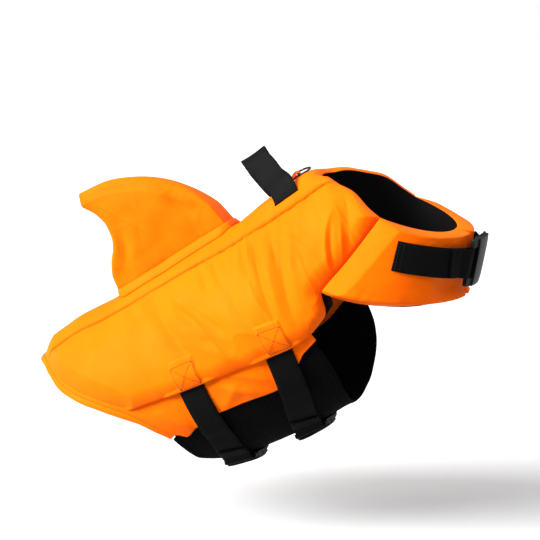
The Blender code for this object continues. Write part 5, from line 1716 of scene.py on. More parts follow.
@dataclass(frozen=True)
class Fin:
    """The stuffed fin: two bowed faces over one outline, sewn to a boxed edge."""

    strip: SpineStrip = SpineStrip()
    base_height: float = FinBase.height
    sunk: float = 0.9
    # along, up of the edges, from the base up
    leading: Table = (
        (241, 18),
        (238.5, 30),
        (232, 47),
        (221.5, 65),
        (204, 84.5),
        (180, 101.5),
        (151, 114),
        (123, 118.5),
    )
    trailing: Table = (
        (107, 24),
        (109, 32),
        (117, 46),
        (126, 56),
        (131, 66),
        (132.5, 79),
        (129, 92),
        (119.5, 107),
    )
    # share of the height, half thickness at the edges, half thickness in the middle
    thickness: Table = ((0, 13.0, 14.5), (0.35, 12.0, 15.5), (0.7, 9.5, 12.5), (1, 6.0, 7.0))
    crown: float = 1.1
    # Width of the flat band along the leading edge, and the share of thickness it loses.
    band: float = 11.0
    bevel: float = 0.38
    folds_right: tuple[Fold, ...] = (
        Fold((222, 34), (206, 74), -4.2, 7.0, bend=4.0),
        Fold((230, 33), (223, 54), -1.8, 3.8, bend=1.0),
        Fold((212, 36), (200, 58), 1.0, 4.0, bend=-1.0),
        Fold((126, 34), (144, 70), -3.6, 9.0, bend=-4.0),
        Fold((140, 34), (150, 50), 0.9, 5.0),
        Fold((156, 38), (168, 64), -1.4, 7.0, bend=2.0),
        Fold((150, 108), (192, 90), -1.0, 7.0),
        Fold((238, 27), (231, 42), -1.3, 3.0),
    )
    folds_left: tuple[Fold, ...] = (
        Fold((214, 32), (202, 70), -3.4, 8.0, bend=-4.0),
        Fold((226, 34), (217, 56), -1.8, 4.0),
        Fold((134, 34), (148, 72), -2.9, 9.0, bend=4.0),
        Fold((170, 36), (172, 60), -1.4, 6.0),
        Fold((148, 108), (186, 94), -1.0, 7.0),
    )
    swells: Swells = Swells(0.5, 38)
    creases: Creases = Creases(0.7, 26, 20)
    edge_gathers: Gathers = Gathers(0.22, 9.0, 7.0)
    base_gathers: Gathers = Gathers(0.45, 10.0, 7.0)
    outline_length: float = 330.0

    def edge(self, table: Table, share: Array) -> Array:
        """Points of an edge at shares of its length, as (along, up)."""
        length = lengths(np.asarray(table, float))
        by_share = np.column_stack([length / length[-1], table])
        return np.stack([read(by_share, share, k) for k in (1, 2)], axis=-1)

    def face(
        self, rise: Array, chord: Array, folds: tuple[Fold, ...], seed: int
    ) -> tuple[Array, Array, Array]:
        """One face as its places along and up, and its distance from the middle.

        Args:
            rise: Shares of the height, as a column.
            chord: Shares of the way from the trailing to the leading edge, as a row.
            folds: The face's folds.
            seed: Number that fixes its swells.

        Returns:
            along, up and distance from the middle plane: the bow is a low power of 4c(1 - c), the
            cloth dips beside the seams and gathers towards them, and a flat band slopes off along
            the leading edge.
        """
        trailing, leading = self.edge(self.trailing, rise), self.edge(self.leading, rise)
        place = trailing + chord[..., None] * (leading - trailing)
        along, up = place[..., 0], place[..., 1]
        trunk = self.strip.pattern.trunk
        edge, middle = (read(self.thickness, rise, k) for k in (1, 2))
        bow = (4 * chord * (1 - chord)) ** 0.55 * np.sin(np.clip(rise / 0.22, 0, 1) * math.pi / 2)
        half = edge + (middle - edge) * bow
        crown = trunk.rise_of(self.strip.over(along, half, self.base_height - self.sunk))
        up = np.maximum(up + (crown - up) * ease(rise, 0.12, 0), crown)
        flat = np.stack([along, up], -1)
        outline = np.concatenate([trailing[:, 0], leading[::-1, 0]])
        off_seam, passed = nearest(flat, outline)
        relief = folded(folds, flat)
        relief = relief + self.swells.relief(flat, seed) + self.creases.relief(flat, seed + 1)
        away = ease(off_seam, 1.0, 9.0) * ease(up - crown, 0.5, 6.0)
        gathers = self.edge_gathers.relief(off_seam, passed * self.outline_length, float(seed))
        at_base = self.base_gathers.relief(up - crown, along, seed + 1.0)
        dip = 0.8 * np.exp(-((off_seam / 1.3) ** 2)) + 1.1 * np.exp(-(((up - crown) / 1.4) ** 2))
        off_leading, _ = nearest(flat, leading[:, 0])
        bevel = self.bevel * edge * np.clip(1 - off_leading / self.band, 0, 1) * ease(rise, 0.08, 0.35)
        return along, up, half + relief * away + gathers + at_base - dip - bevel

    def build(self, wardrobe: Wardrobe) -> None:
        """Joins the two faces to the crowned band round their outline."""
        rise = spans((0, 0.04, 6), (0.04, 0.93, 92), (0.93, 1, 12))[:, None]
        chord = spans((0, 0.05, 8), (0.05, 0.95, 70), (0.95, 1, 8))[None, :]
        pitched = self.strip.pattern.trunk.pitched
        faces, grids = [], []
        for way, folds, seed in ((-1.0, self.folds_right, 61), (1.0, self.folds_left, 67)):
            along, up, half = self.face(rise, chord, folds, seed)
            grids.append((along, up, way * half))
            faces.append(pitched(along, way * half, up))
        rows, columns = faces[0].shape[:2]
        index = np.arange(rows * columns).reshape(rows, columns)
        rim = np.concatenate([index[:, 0], index[-1, 1:], index[-2::-1, -1]])
        right, left = (np.stack(grid, -1).reshape(-1, 3)[rim] for grid in grids)
        across = spans((0, 0.12, 4), (0.12, 0.88, 14), (0.88, 1, 4))[1:-1]
        outline = right[:, :2]
        step = np.gradient(outline, axis=0)
        outward = unit(np.stack([-step[:, 1], step[:, 0]], -1))
        outward = outward * np.sign((outward * (outline - outline.mean(0))).sum(-1).mean())
        walked = lengths(outline)
        away = ease(walked, 0, 8) * ease(walked[-1] - walked, 0, 8)
        band = right[:, None] + across[None, :, None] * (left - right)[:, None]
        lift = self.crown * (4 * across * (1 - across)) ** 0.6 * away[:, None]
        band[..., :2] += outward[:, None] * lift[..., None]
        band = pitched(band[..., 0], band[..., 2], band[..., 1])
        wardrobe.dress("fin", "cover", self.joined(faces, band, index, rim), ORANGE)

    def joined(self, faces: list[Array], band: Array, index: Array, rim: Array) -> Skin:
        """One closed skin of both faces, the band between their rims and the sewn underside.

        Args:
            faces: Grids of points of the right and left faces.
            band: Grid of points of the band, along the rim and across it, rims left out.
            index: Point numbers of a face.
            rim: Point numbers of a face's edge, from its trailing base to its leading base.

        Returns:
            The skin.
        """
        count = index.size
        middle = np.arange(band[..., 0].size).reshape(band.shape[:2]) + 2 * count
        walk = np.concatenate([rim[:, None], middle, rim[:, None] + count], axis=1)
        base = np.concatenate([index[:1].T, index[:1].T + count], axis=1)
        quads = [grid_quads(index), grid_quads(index + count)[:, ::-1], grid_quads(walk)]
        loop_start, loop_end = walk[0, 1:-1], walk[-1, 1:-1]
        step = len(loop_start)
        rear = [base[0, 0], *loop_start, base[0, 1]]
        front = [base[-1, 0], *loop_end, base[-1, 1]]
        between = np.linspace(0, 1, step + 2)
        points = np.concatenate([*(face.reshape(-1, 3) for face in faces), band.reshape(-1, 3)])
        inner = base[1:-1]
        right, left = (points[inner[:, k]][:, None] for k in (0, 1))
        floor_points = right + between[1:-1][None, :, None] * (left - right)
        floor_index = np.arange(floor_points[..., 0].size).reshape(floor_points.shape[:2]) + len(points)
        floor = np.concatenate([inner[:, :1], floor_index, inner[:, 1:]], axis=1)
        floor = np.concatenate([np.array([rear]), floor, np.array([front])])
        quads.append(grid_quads(floor))
        points = np.concatenate([points, floor_points.reshape(-1, 3)])
        cloth = points[:, [0, 2]] + np.stack([0 * points[:, 1], points[:, 1]], -1) * 0.6
        quads = np.concatenate(quads)
        return consistent(Skin(points, quads, cloth * MM, np.zeros(len(quads), int)))


def consistent(skin: Skin) -> Skin:
    """A closed skin whose quads have all been turned to face out, with a mesh's own recalculation."""
    mesh = bmesh.new()
    corners = [mesh.verts.new(point) for point in skin.points.tolist()]
    for quad in skin.faces.tolist():
        mesh.faces.new([corners[k] for k in quad])
    mesh.verts.index_update()
    bmesh.ops.recalc_face_normals(mesh, faces=mesh.faces)
    quads = np.array([[vert.index for vert in face.verts] for face in mesh.faces])
    mesh.free()
    return Skin(skin.points, quads, skin.cloth, skin.finish).facing_out()


# ---- Webbing and handle ------------------------------------------------------------------------


@dataclass(frozen=True)
class Webbing:
    """Flat woven webbing with rounded edges."""

    width: float = WEBBING_WIDTH
    thickness: float = 1.5

    def section(self) -> tuple[Array, Array]:
        """Shares across and places up of one ring, from the edge over the top and back below."""
        half, round_by = self.width / 2, self.thickness / 2
        turn = np.radians([12.0, 40.0, 68.0])
        flat = np.linspace(half - round_by, round_by - half, 8)[1:-1]
        bend = half - round_by + round_by * np.cos(turn)
        across = np.concatenate([bend, flat, -bend[::-1]])
        rise = round_by * np.sin(turn)
        up = np.concatenate([rise, np.full(len(flat), round_by), rise[::-1]])
        return np.concatenate([across, across[::-1]]), np.concatenate([up, -up[::-1]])

    def carried(self, line: Array, across: Array) -> Skin:
        """The webbing along a line of points, flat to the across directions."""
        tangent = unit(np.gradient(line, axis=0))
        across = unit(across - (across * tangent).sum(-1, keepdims=True) * tangent)
        normal = np.cross(tangent, across)
        sideways, up = self.section()
        aside = sideways[None, :, None] * across[:, None]
        rings = line[:, None] + aside + up[None, :, None] * normal[:, None]
        passed = np.broadcast_to(lengths(line)[:, None], rings.shape[:2])
        return tube(rings, np.stack([passed, np.broadcast_to(sideways, rings.shape[:2])], -1))


@dataclass(frozen=True)
class Thread:
    """A row of small stitches, each an arched capsule that dips into the cloth at both ends."""

    finish: Finish
    pitch: float = 2.3
    radius: float = 0.32
    share: float = 0.66
    dip: float = 0.25
    sides: int = 6

    def stitches(self, line: Array, normals: Array) -> Skin:
        """Stitches along a line.

        Args:
            line: Points of the line on the cloth.
            normals: Directions out of the cloth at them.

        Returns:
            One skin of all the stitches.
        """
        length = lengths(line)
        count = max(1, int(length[-1] / self.pitch))
        share = np.linspace(-0.5, 0.5, self.sides)
        middle = (np.arange(count) + 0.5) * length[-1] / count
        at = middle[:, None] + share * self.pitch * self.share
        centre = np.stack([np.interp(at, length, line[:, k]) for k in range(3)], -1)
        normal = unit(np.stack([np.interp(at, length, normals[:, k]) for k in range(3)], -1))
        tangent = unit(np.gradient(centre, axis=1))
        across = np.cross(tangent, normal)
        arch = np.cos(share * math.pi) - self.dip
        thick = self.radius * np.sqrt(np.maximum(1 - (2 * share) ** 2, 0.12))
        centre = centre + (arch * self.radius * 1.3)[None, :, None] * normal
        turn = np.radians(np.arange(self.sides) * 360.0 / self.sides)
        ring = np.cos(turn)[:, None] * across[:, :, None] + np.sin(turn)[:, None] * normal[:, :, None]
        rings = centre[:, :, None] + ring * thick[None, :, None, None]
        one = capped(self.sides, self.sides)
        quads = (one[None] + self.sides**2 * np.arange(count)[:, None, None]).reshape(-1, 4)
        passed = np.broadcast_to(at[:, :, None], rings.shape[:3])
        place = np.stack([passed, 0 * passed], -1).reshape(-1, 2)
        return Skin(rings.reshape(-1, 3), quads, place * MM, np.zeros(len(quads), int)).facing_out()

    def sew(self, name: str, rows: list[Row], wardrobe: Wardrobe) -> None:
        """Places one piece of all the rows.

        Args:
            name: Name of the piece.
            rows: Lines on the cloth with the directions out of it.
            wardrobe: The materials.
        """
        skins = [self.stitches(*row) for row in rows]
        total = skins[0]
        for skin in skins[1:]:
            total = total + skin
        place_piece(name, total, [wardrobe.get(self.finish)])


@dataclass(frozen=True)
class Handle:
    """The carrying handle: webbing arched from one edge of the spine strip to the other."""

    strip: SpineStrip = SpineStrip()
    webbing: Webbing = Webbing()
    cut: Cut = Cut.webbing(145)
    foot_angles: Place = (27.0, 24.5)
    # Points of the line where rows of stitches cross it.
    sewn_at: tuple[int, ...] = (3, 8, -9, -4)
    sewn_half: float = 11.5
    # side, rise over the strip's crown, along
    arch: Table = (
        (-25.5, -1.0, 315),
        (-22.2, 10.6, 308.4),
        (-17, 22.3, 305.6),
        (-12, 33.4, 301.4),
        (-5.3, 40.5, 299),
        (1.8, 42, 296.2),
        (9, 37, 294),
        (15, 26, 290.5),
        (20, 13, 290.5),
        (25.5, -1.0, 291),
    )

    def line(self) -> Array:
        """Centre line, from its right foot over the arch to its left foot."""
        pattern = self.strip.pattern
        numbered = with_row_numbers(self.arch)
        row = np.linspace(0, len(self.arch) - 1, 100)
        side, rise, along = (read(numbered, row, k) for k in (1, 2, 3))
        arch = pattern.trunk.pitched(along, side, pattern.trunk.crown(along) + pattern.full + rise)
        feet = []
        for foot_along, sign in ((self.arch[0][2] + 0.5, 1), (self.arch[-1][2], -1)):
            angle = np.linspace(*self.foot_angles, 8) * sign
            height = self.strip.outside(np.full(8, foot_along), angle) + self.webbing.thickness / 2
            feet.append(pattern.trunk.over(foot_along, angle, height))
        return softened(even(np.concatenate([feet[0], arch[3:-3], feet[1][::-1]]), 1.0), 14)

    def build(self, wardrobe: Wardrobe) -> None:
        """Carries the webbing along the line and sews its feet."""
        trunk = self.strip.pattern.trunk
        line = self.line()
        ahead = unit(trunk.pitched(1.0, 0.0, 0.0) - trunk.pitched(0.0, 0.0, 0.0))
        skin = self.webbing.carried(line, np.broadcast_to(ahead, line.shape))
        piece = wardrobe.dress("handle", "webbing", skin, WEBBING)
        self.cut.declare(piece, "stretched", ["spine_strip_cover"])
        tangent = unit(np.gradient(line, axis=0))
        out = unit(np.cross(tangent, np.broadcast_to(ahead, line.shape)))
        out = out * np.sign((out * (line - line.mean(0))).sum(-1).mean())
        rows = []
        sideways = np.linspace(-self.sewn_half, self.sewn_half, 12)[:, None] * ahead
        for number in self.sewn_at:
            normals = np.broadcast_to(out[number], sideways.shape)
            rows.append((line[number] + sideways + normals * self.webbing.thickness / 2, normals))
        Thread(BLACK_THREAD, pitch=2.6).sew("handle_sewing", rows, wardrobe)


# ---- Leash ring and its tab --------------------------------------------------------------------


@dataclass(frozen=True)
class RingPlace:
    """Where the leash ring's bar lies, and the tab's own directions."""

    strip: SpineStrip = SpineStrip()
    along: float = 324.5
    bar_height: float = 4.2
    yaw: float = 24.0
    roll: float = 13.0

    def frame(self) -> tuple[Array, Array, Array, Array]:
        """Centre of the bar, and the directions forward, sideways and up."""
        rear, front = self.strip.over(np.array([self.along - 8.0, self.along + 2.0]), np.zeros(2), 0.0)
        straight, left = unit(front - rear), np.array([0.0, 1.0, 0.0])
        up = np.cross(straight, left)
        yaw = math.radians(self.yaw)
        forward = math.cos(yaw) * straight + math.sin(yaw) * left
        return rear + straight * 8.0 + up * self.bar_height, forward, np.cross(up, forward), up

    def rolled(self, side: Array, up: Array, share: Array) -> tuple[Array, Array]:
        """The sideways and upward directions turned by a share of the roll, to face the right."""
        roll = math.radians(self.roll) * np.asarray(share)[..., None]
        return np.cos(roll) * side + np.sin(roll) * up, np.cos(roll) * up - np.sin(roll) * side


@dataclass(frozen=True)
class RingTab:
    """A folded strip of cloth, flat where it is sewn down and rolled where its loop holds the bar."""

    ring: RingPlace = RingPlace()
    cut: Cut = Cut(15, 43, 15 * 43)
    half_width: float = 7.5
    ply: float = 1.0
    hole: float = 1.4
    tail: float = 18.0
    ply_gap: float = 0.05
    sewn_at: Place = (-15.5, -11.0)
    sewn_half: float = 6.3

    def placed(self, ahead: Array, height: Array, half: Array) -> Array:
        """Points from places along the tab, over its sewn face and across it."""
        bar, forward, side, up = self.ring.frame()
        share = ease(ahead, -14.0, -4.0)
        across, upwards = self.ring.rolled(side, up, share)
        in_loop = bar + ahead[..., None] * forward + height[..., None] * upwards + half[..., None] * across
        yaw = math.radians(self.ring.yaw)
        along = self.ring.along + ahead * math.cos(yaw) - half * math.sin(yaw)
        left = ahead * math.sin(yaw) + half * math.cos(yaw)
        sewn = self.ring.strip.over(along, left, height + self.hole + self.ply)
        return sewn + share[..., None] * (in_loop - sewn)

    def profile(self) -> tuple[Array, Array]:
        """The ply's middle line from the sewn end round the bar and back, as ahead and height."""
        radius = self.hole + self.ply / 2
        turn = np.radians(np.linspace(-90, 90, 25))
        low = np.linspace(-self.tail, 0, 30, endpoint=False)
        back = np.linspace(0, -self.tail, 31)[1:]
        lying = -radius + self.ply + self.ply_gap
        ahead = np.concatenate([low, radius * np.cos(turn), back])
        top = lying + (radius - lying) * ease(back, -10.0, -0.5)
        return ahead, np.concatenate([0 * low - radius, radius * np.sin(turn), top])

    def build(self, wardrobe: Wardrobe) -> None:
        """Lays the strip's two faces along the profile."""
        ahead, height = self.profile()
        line = np.stack([ahead, height], -1)
        tangent = unit(np.gradient(line, axis=0))
        out = np.stack([tangent[:, 1], -tangent[:, 0]], -1)
        half = spans((-1, -0.9, 3), (-0.9, 0.9, 18), (0.9, 1, 3))[None, :] * self.half_width
        share = thinned(len(line), half.shape[1]) * self.ply * 0.46
        faces = []
        for way in (1, -1):
            at = line[:, None] + way * share[..., None] * out[:, None]
            faces.append(self.placed(at[..., 0], at[..., 1], half + 0 * at[..., 0]))
        cloth = np.stack(np.broadcast_arrays(lengths(line)[:, None], half), -1)
        piece = wardrobe.dress("ring_tab", "cloth", slab(*faces, cloth), ORANGE)
        self.cut.declare(piece, "folded", ["spine_strip_cover"])
        rows = []
        top = self.ply - self.hole + self.ply_gap
        across = np.linspace(-self.sewn_half, self.sewn_half, 14)
        for place in self.sewn_at:
            line = self.placed(0 * across + place, 0 * across + top, across)
            above = self.placed(0 * across + place, 0 * across + top + 1, across)
            rows.append((line, unit(above - line)))
        Thread(ORANGE_THREAD, pitch=2.1).sew("ring_tab_sewing", rows, wardrobe)


@dataclass(frozen=True)
class LeashRing:
    """A D ring of wire: a straight bar across, and half an ellipse ahead of it."""

    place: RingPlace = RingPlace()
    wire: float = 1.0
    half_width: float = 11.5
    reach: float = 12.4
    corner: float = 2.4
    tilt: float = -7.0

    def build(self, wardrobe: Wardrobe) -> None:
        """Carries the wire round the D."""
        bar, forward, side, up = self.place.frame()
        side, up = self.place.rolled(side, up, np.float64(1.0))
        tilt = math.radians(self.tilt)
        ahead = math.cos(tilt) * forward + math.sin(tilt) * up
        flat_end = self.half_width - self.corner
        straight = np.linspace(-flat_end, flat_end, 24)
        bend = np.radians(np.linspace(-90, 0, 12))[1:]
        bow = np.radians(np.linspace(0, 180, 64))[1:]
        bend_ahead = self.corner * (1 + np.sin(bend))
        bend_side = flat_end + self.corner * np.cos(bend)
        bow_ahead = self.corner + (self.reach - self.corner) * np.sin(bow)
        flat_ahead = np.concatenate([0 * straight, bend_ahead, bow_ahead, bend_ahead[-2::-1]])
        flat_side = np.concatenate([straight, bend_side, self.half_width * np.cos(bow), -bend_side[-2::-1]])
        centre = flat_ahead[:, None] * ahead + flat_side[:, None] * side
        tangent = unit(np.roll(centre, -1, axis=0) - np.roll(centre, 1, axis=0))
        lift = np.cross(ahead, side)
        outward = np.cross(tangent, lift)[:, None, :]
        turn = np.radians(np.arange(0, 360, 22.5))
        rings = np.cos(turn)[None, :, None] * outward + np.sin(turn)[None, :, None] * lift
        rings = bar + centre[:, None, :] + self.wire * rings
        cloth = np.broadcast_to(np.stack([0 * turn, turn], -1), (*rings.shape[:2], 2))
        wardrobe.dress("leash_ring", "wire", tube(rings, cloth, closed=True), METAL, body="leash_ring")


# ---- Straps and buckles ------------------------------------------------------------------------


@dataclass(frozen=True)
class Course:
    """A strap's course on what it lies on: 0 lies at the mouth of its buckle's socket."""

    stations: Array
    centre: Array
    across: Array
    normal: Array

    @classmethod
    def through(cls, centre: Array, normal: Array, mouth: Array) -> "Course":
        """A course along points with directions out of what they lie on, 0 nearest the mouth."""
        length = lengths(centre)
        zero = length[np.argmin(np.linalg.norm(centre - mouth, axis=1))]
        tangent = unit(np.gradient(centre, axis=0))
        normal = unit(normal - (normal * tangent).sum(-1, keepdims=True) * tangent)
        return cls(length - zero, centre, np.cross(normal, tangent), normal)

    def at(self, along: Array, across: Array, up: Array) -> Array:
        """Points at distances along the course, to its side and over it."""
        along, across, up = np.broadcast_arrays(*(np.asarray(v, float) for v in (along, across, up)))

        def blended(vectors: Array) -> Array:
            """Vectors between the course's own, at each distance."""
            return np.stack([np.interp(along, self.stations, vectors[:, k]) for k in range(3)], axis=-1)

        aside = across[..., None] * blended(self.across)
        return blended(self.centre) + aside + up[..., None] * blended(self.normal)

    def sideways(self, along: Array) -> Array:
        """Directions across the course."""
        return unit(self.at(along, 1.0, 0.0) - self.at(along, 0.0, 0.0))


@dataclass(frozen=True)
class StrapEnd:
    """How webbing turns round a buckle's bar and lies back on itself, sewn down."""

    clear: float = 0.5
    radius: float = 2.95
    centre_up: float = 4.2
    overlap: float = 25.0
    ply_gap: float = 0.4
    sewn_at: Place = (14.5, 22.0)
    sewn_half: float = 12.0

    def loop(self, bar: float, outwards: int, ground: float, thickness: float) -> tuple[Array, Array]:
        """Places along and up of the turn; outwards is the sign of the way back along the strap."""
        turn = np.radians(np.linspace(-90, 90, 25))
        low = self.clear + thickness / 2
        lying = low + thickness + self.ply_gap
        back_table = (
            (0, self.centre_up + self.radius),
            (3, self.centre_up + self.radius),
            (8, low + 3.6),
            (12.5, lying),
            (self.overlap, lying),
        )
        back = np.linspace(0, self.overlap, 40)[1:]
        along = np.concatenate([bar - outwards * self.radius * np.cos(turn), bar + outwards * back])
        up = np.concatenate([self.centre_up + self.radius * np.sin(turn), read(back_table, back, 1)])
        return along, ground + up


@dataclass(frozen=True)
class Strap:
    """One strap from its sewn end to the turn round a buckle's bar."""

    name: str
    course: Course
    start: float
    bar: float
    outwards: int
    ground: float
    heights: tuple[Array, Array]
    cut: Cut
    rests_on: tuple[str, ...]
    webbing: Webbing = Webbing()
    end: StrapEnd = StrapEnd()

    def line(self) -> tuple[Array, Array]:
        """The webbing's middle line, as places along the course and up over it."""
        run_end = self.bar + self.outwards * 1.5
        run = np.linspace(self.start, run_end, 160)
        loop_along, loop_up = self.end.loop(self.bar, self.outwards, self.ground, self.webbing.thickness)
        along = np.concatenate([run, loop_along])
        up = np.concatenate([np.interp(run, *self.heights), loop_up])
        line = even(np.stack([along, up], -1), 0.8)
        return line[:, 0], line[:, 1]

    def build(self, wardrobe: Wardrobe) -> None:
        """Carries the webbing and sews its turned end down."""
        along, up = self.line()
        line = self.course.at(along, 0.0, up)
        skin = self.webbing.carried(line, self.course.sideways(along))
        piece = wardrobe.dress(self.name, "webbing", skin, WEBBING)
        self.cut.declare(piece, "stretched", list(self.rests_on))
        rows = [self.across_row(self.bar + self.outwards * back) for back in self.end.sewn_at]
        Thread(BLACK_THREAD, pitch=2.5).sew(f"{self.name}_sewing", rows, wardrobe)

    def across_row(self, along: float, up: float | None = None) -> Row:
        """A row of points across the webbing's outer face, with the directions out of it."""
        if up is None:
            low = self.end.clear + self.webbing.thickness / 2
            up = self.ground + low + self.webbing.thickness * 1.5 + self.end.ply_gap
        across = np.linspace(-self.end.sewn_half, self.end.sewn_half, 20)
        line = self.course.at(along, across, up)
        return line, unit(self.course.at(along, across, up + 1) - line)


@dataclass(frozen=True)
class Buckle:
    """A side release buckle: a hollow socket with a window in each side, and a plug with two prongs."""

    name: str
    course: Course
    ground: float
    half: float
    stretch: float
    socket_length: float = 30.0
    plug_length: float = 16.5
    bar: float = 2.4
    bar_up: Place = (3.0, 5.4)
    socket_up: Place = (1.0, 9.0)
    cavity_up: Place = (3.0, 7.4)
    plug_up: Place = (1.8, 8.6)
    prong_up: Place = (3.5, 6.9)
    slot_half: float = 14.4
    bevel: float = 0.55

    def socket(self) -> tuple[Boxes, Boxes]:
        """Boxes of the socket's body and of its hollows, as spans along, out from the middle and up."""
        start = -self.socket_length
        body = (
            ((start, start + self.bar), (-1, self.half), self.bar_up),
            ((start, -21.5), (self.slot_half, self.half), self.cavity_up),
            ((-21.5, 0), (-1, self.half), self.socket_up),
        )
        hollows = (
            ((-17.5, 0), (-1, self.half - 3.0), self.cavity_up),
            ((-13, -6), (self.half - 3.5, self.half), self.cavity_up),
        )
        return body, hollows

    def plug(self) -> tuple[Boxes, Boxes]:
        """Boxes of the plug: a shoulder, two prongs with thumb pads, a guide, and the frame and bar."""
        far = self.plug_length
        body = (
            ((1.0, 7.5), (-1, self.half - 0.5), self.plug_up),
            ((-15.5, 1.0), (self.half - 7.6, self.half - 3.5), self.prong_up),
            ((-12.5, -6.5), (self.half - 3.5, self.half - 0.3), self.prong_up),
            ((-12.5, 1.0), (-1, 2.4), self.prong_up),
            ((7.5, far), (self.slot_half, self.half - 0.5), self.bar_up),
            ((far - self.bar, far), (-1, self.slot_half + 0.1), self.bar_up),
        )
        return body, ()

    def cuts(self, boxes: Boxes) -> list[Array]:
        """Sorted cuts along, across and up that hold every box's faces."""
        cuts = []
        for axis in range(3):
            values = {value for box in boxes for value in box[axis] if value >= 0 or axis != 1}
            if axis == 1:
                values |= {-value for value in values}
            cuts.append(np.array(sorted(values)))
        return cuts

    def inside(self, cuts: list[Array], boxes: Boxes) -> Array:
        """Which cells between the cuts lie in any of the boxes."""
        a, b, c = np.meshgrid(*((values[:-1] + values[1:]) / 2 for values in cuts), indexing="ij")
        mask = np.zeros(a.shape, bool)
        for (start, end), (near, far), (low, high) in boxes:
            in_side = (np.abs(b) > near) & (np.abs(b) < far)
            mask |= (a > start) & (a < end) & in_side & (c > low) & (c < high)
        return mask

    def shell(self, cuts: list[Array], filled: Array) -> bmesh.types.BMesh:
        """The faces between filled and empty cells, joined where flat, rounded and cut to bend."""
        mesh = bmesh.new()
        corners: dict[tuple[int, int, int], bmesh.types.BMVert] = {}
        padded = np.pad(filled, 1)
        core = (slice(1, -1),) * 3
        for axis in range(3):
            first, second = [k for k in range(3) if k != axis]
            for side in (0, 1):
                beside = np.roll(padded, 1 - 2 * side, axis=axis)[core]
                for cell in np.argwhere(filled & ~beside):
                    ring = []
                    for add_first, add_second in ((0, 0), (1, 0), (1, 1), (0, 1)):
                        corner = cell.copy()
                        corner[axis] += side
                        corner[first] += add_first
                        corner[second] += add_second
                        key = tuple(int(k) for k in corner)
                        if key not in corners:
                            corners[key] = mesh.verts.new([cuts[k][key[k]] for k in range(3)])
                        ring.append(corners[key])
                    mesh.faces.new(ring)
        bmesh.ops.recalc_face_normals(mesh, faces=mesh.faces)
        parts = {"verts": mesh.verts, "edges": mesh.edges}
        bmesh.ops.dissolve_limit(mesh, angle_limit=0.02, use_dissolve_boundaries=False, **parts)
        sharp = [edge for edge in mesh.edges if edge.calc_face_angle(0) > 0.5]
        rounding = {"offset": self.bevel, "segments": 3, "profile": 0.6}
        bmesh.ops.bevel(mesh, geom=sharp, affect="EDGES", clamp_overlap=True, **rounding)
        for axis, values in ((0, np.arange(-29, 17, 1.5)), (1, np.arange(-21, 22, 3.0))):
            normal = [float(k == axis) for k in range(3)]
            for value in values:
                geometry = [*mesh.verts, *mesh.edges, *mesh.faces]
                point = [float(value) * k for k in normal]
                bmesh.ops.bisect_plane(mesh, geom=geometry, plane_co=point, plane_no=normal)
        bmesh.ops.triangulate(mesh, faces=mesh.faces)
        return mesh

    def shaped(self, points: Array) -> Array:
        """Points thinned towards the sides and drawn in at the far ends."""
        points = points.copy()
        out = np.clip(np.abs(points[:, 1]) / self.half, 0, 1)
        middle = sum(self.cavity_up) / 2
        points[:, 2] = middle + (points[:, 2] - middle) * (1 - 0.25 * out**4)
        drawn = ease(points[:, 0], -22, -30) + ease(points[:, 0], 9, 16.5)
        points[:, 1] *= 1 - 0.035 * drawn
        return points

    def build(self, wardrobe: Wardrobe) -> None:
        """Makes both halves, bent along the strap's course."""
        for part, (body, hollows) in (("socket", self.socket()), ("plug", self.plug())):
            cuts = self.cuts(body + hollows)
            mesh = self.shell(cuts, self.inside(cuts, body) & ~self.inside(cuts, hollows))
            points = self.shaped(np.array([vert.co[:] for vert in mesh.verts]))
            mesh.verts.index_update()
            faces = np.array([[vert.index for vert in face.verts] for face in mesh.faces])
            mesh.free()
            bent = self.course.at(points[:, 0] * self.stretch, points[:, 1], points[:, 2] + self.ground)
            skin = Skin(bent, faces, points[:, :2] * MM, np.zeros(len(faces), int)).facing_out()
            edges_of_flats(wardrobe.dress(f"{self.name}_{part}", "shell", skin, PLASTIC), 0.7)

    def bars(self) -> Place:
        """Where the socket's and the plug's bars lie along the course."""
        return (
            (self.bar / 2 - self.socket_length) * self.stretch,
            (self.plug_length - self.bar / 2) * self.stretch,
        )


def edges_of_flats(piece: Piece, angle: float) -> None:
    """Keeps a piece's edges sharper than an angle from being shaded smooth."""
    mesh = bmesh.new()
    mesh.from_mesh(piece.data)
    for edge in mesh.edges:
        edge.smooth = edge.calc_face_angle(0) < angle
    mesh.to_mesh(piece.data)
    mesh.free()


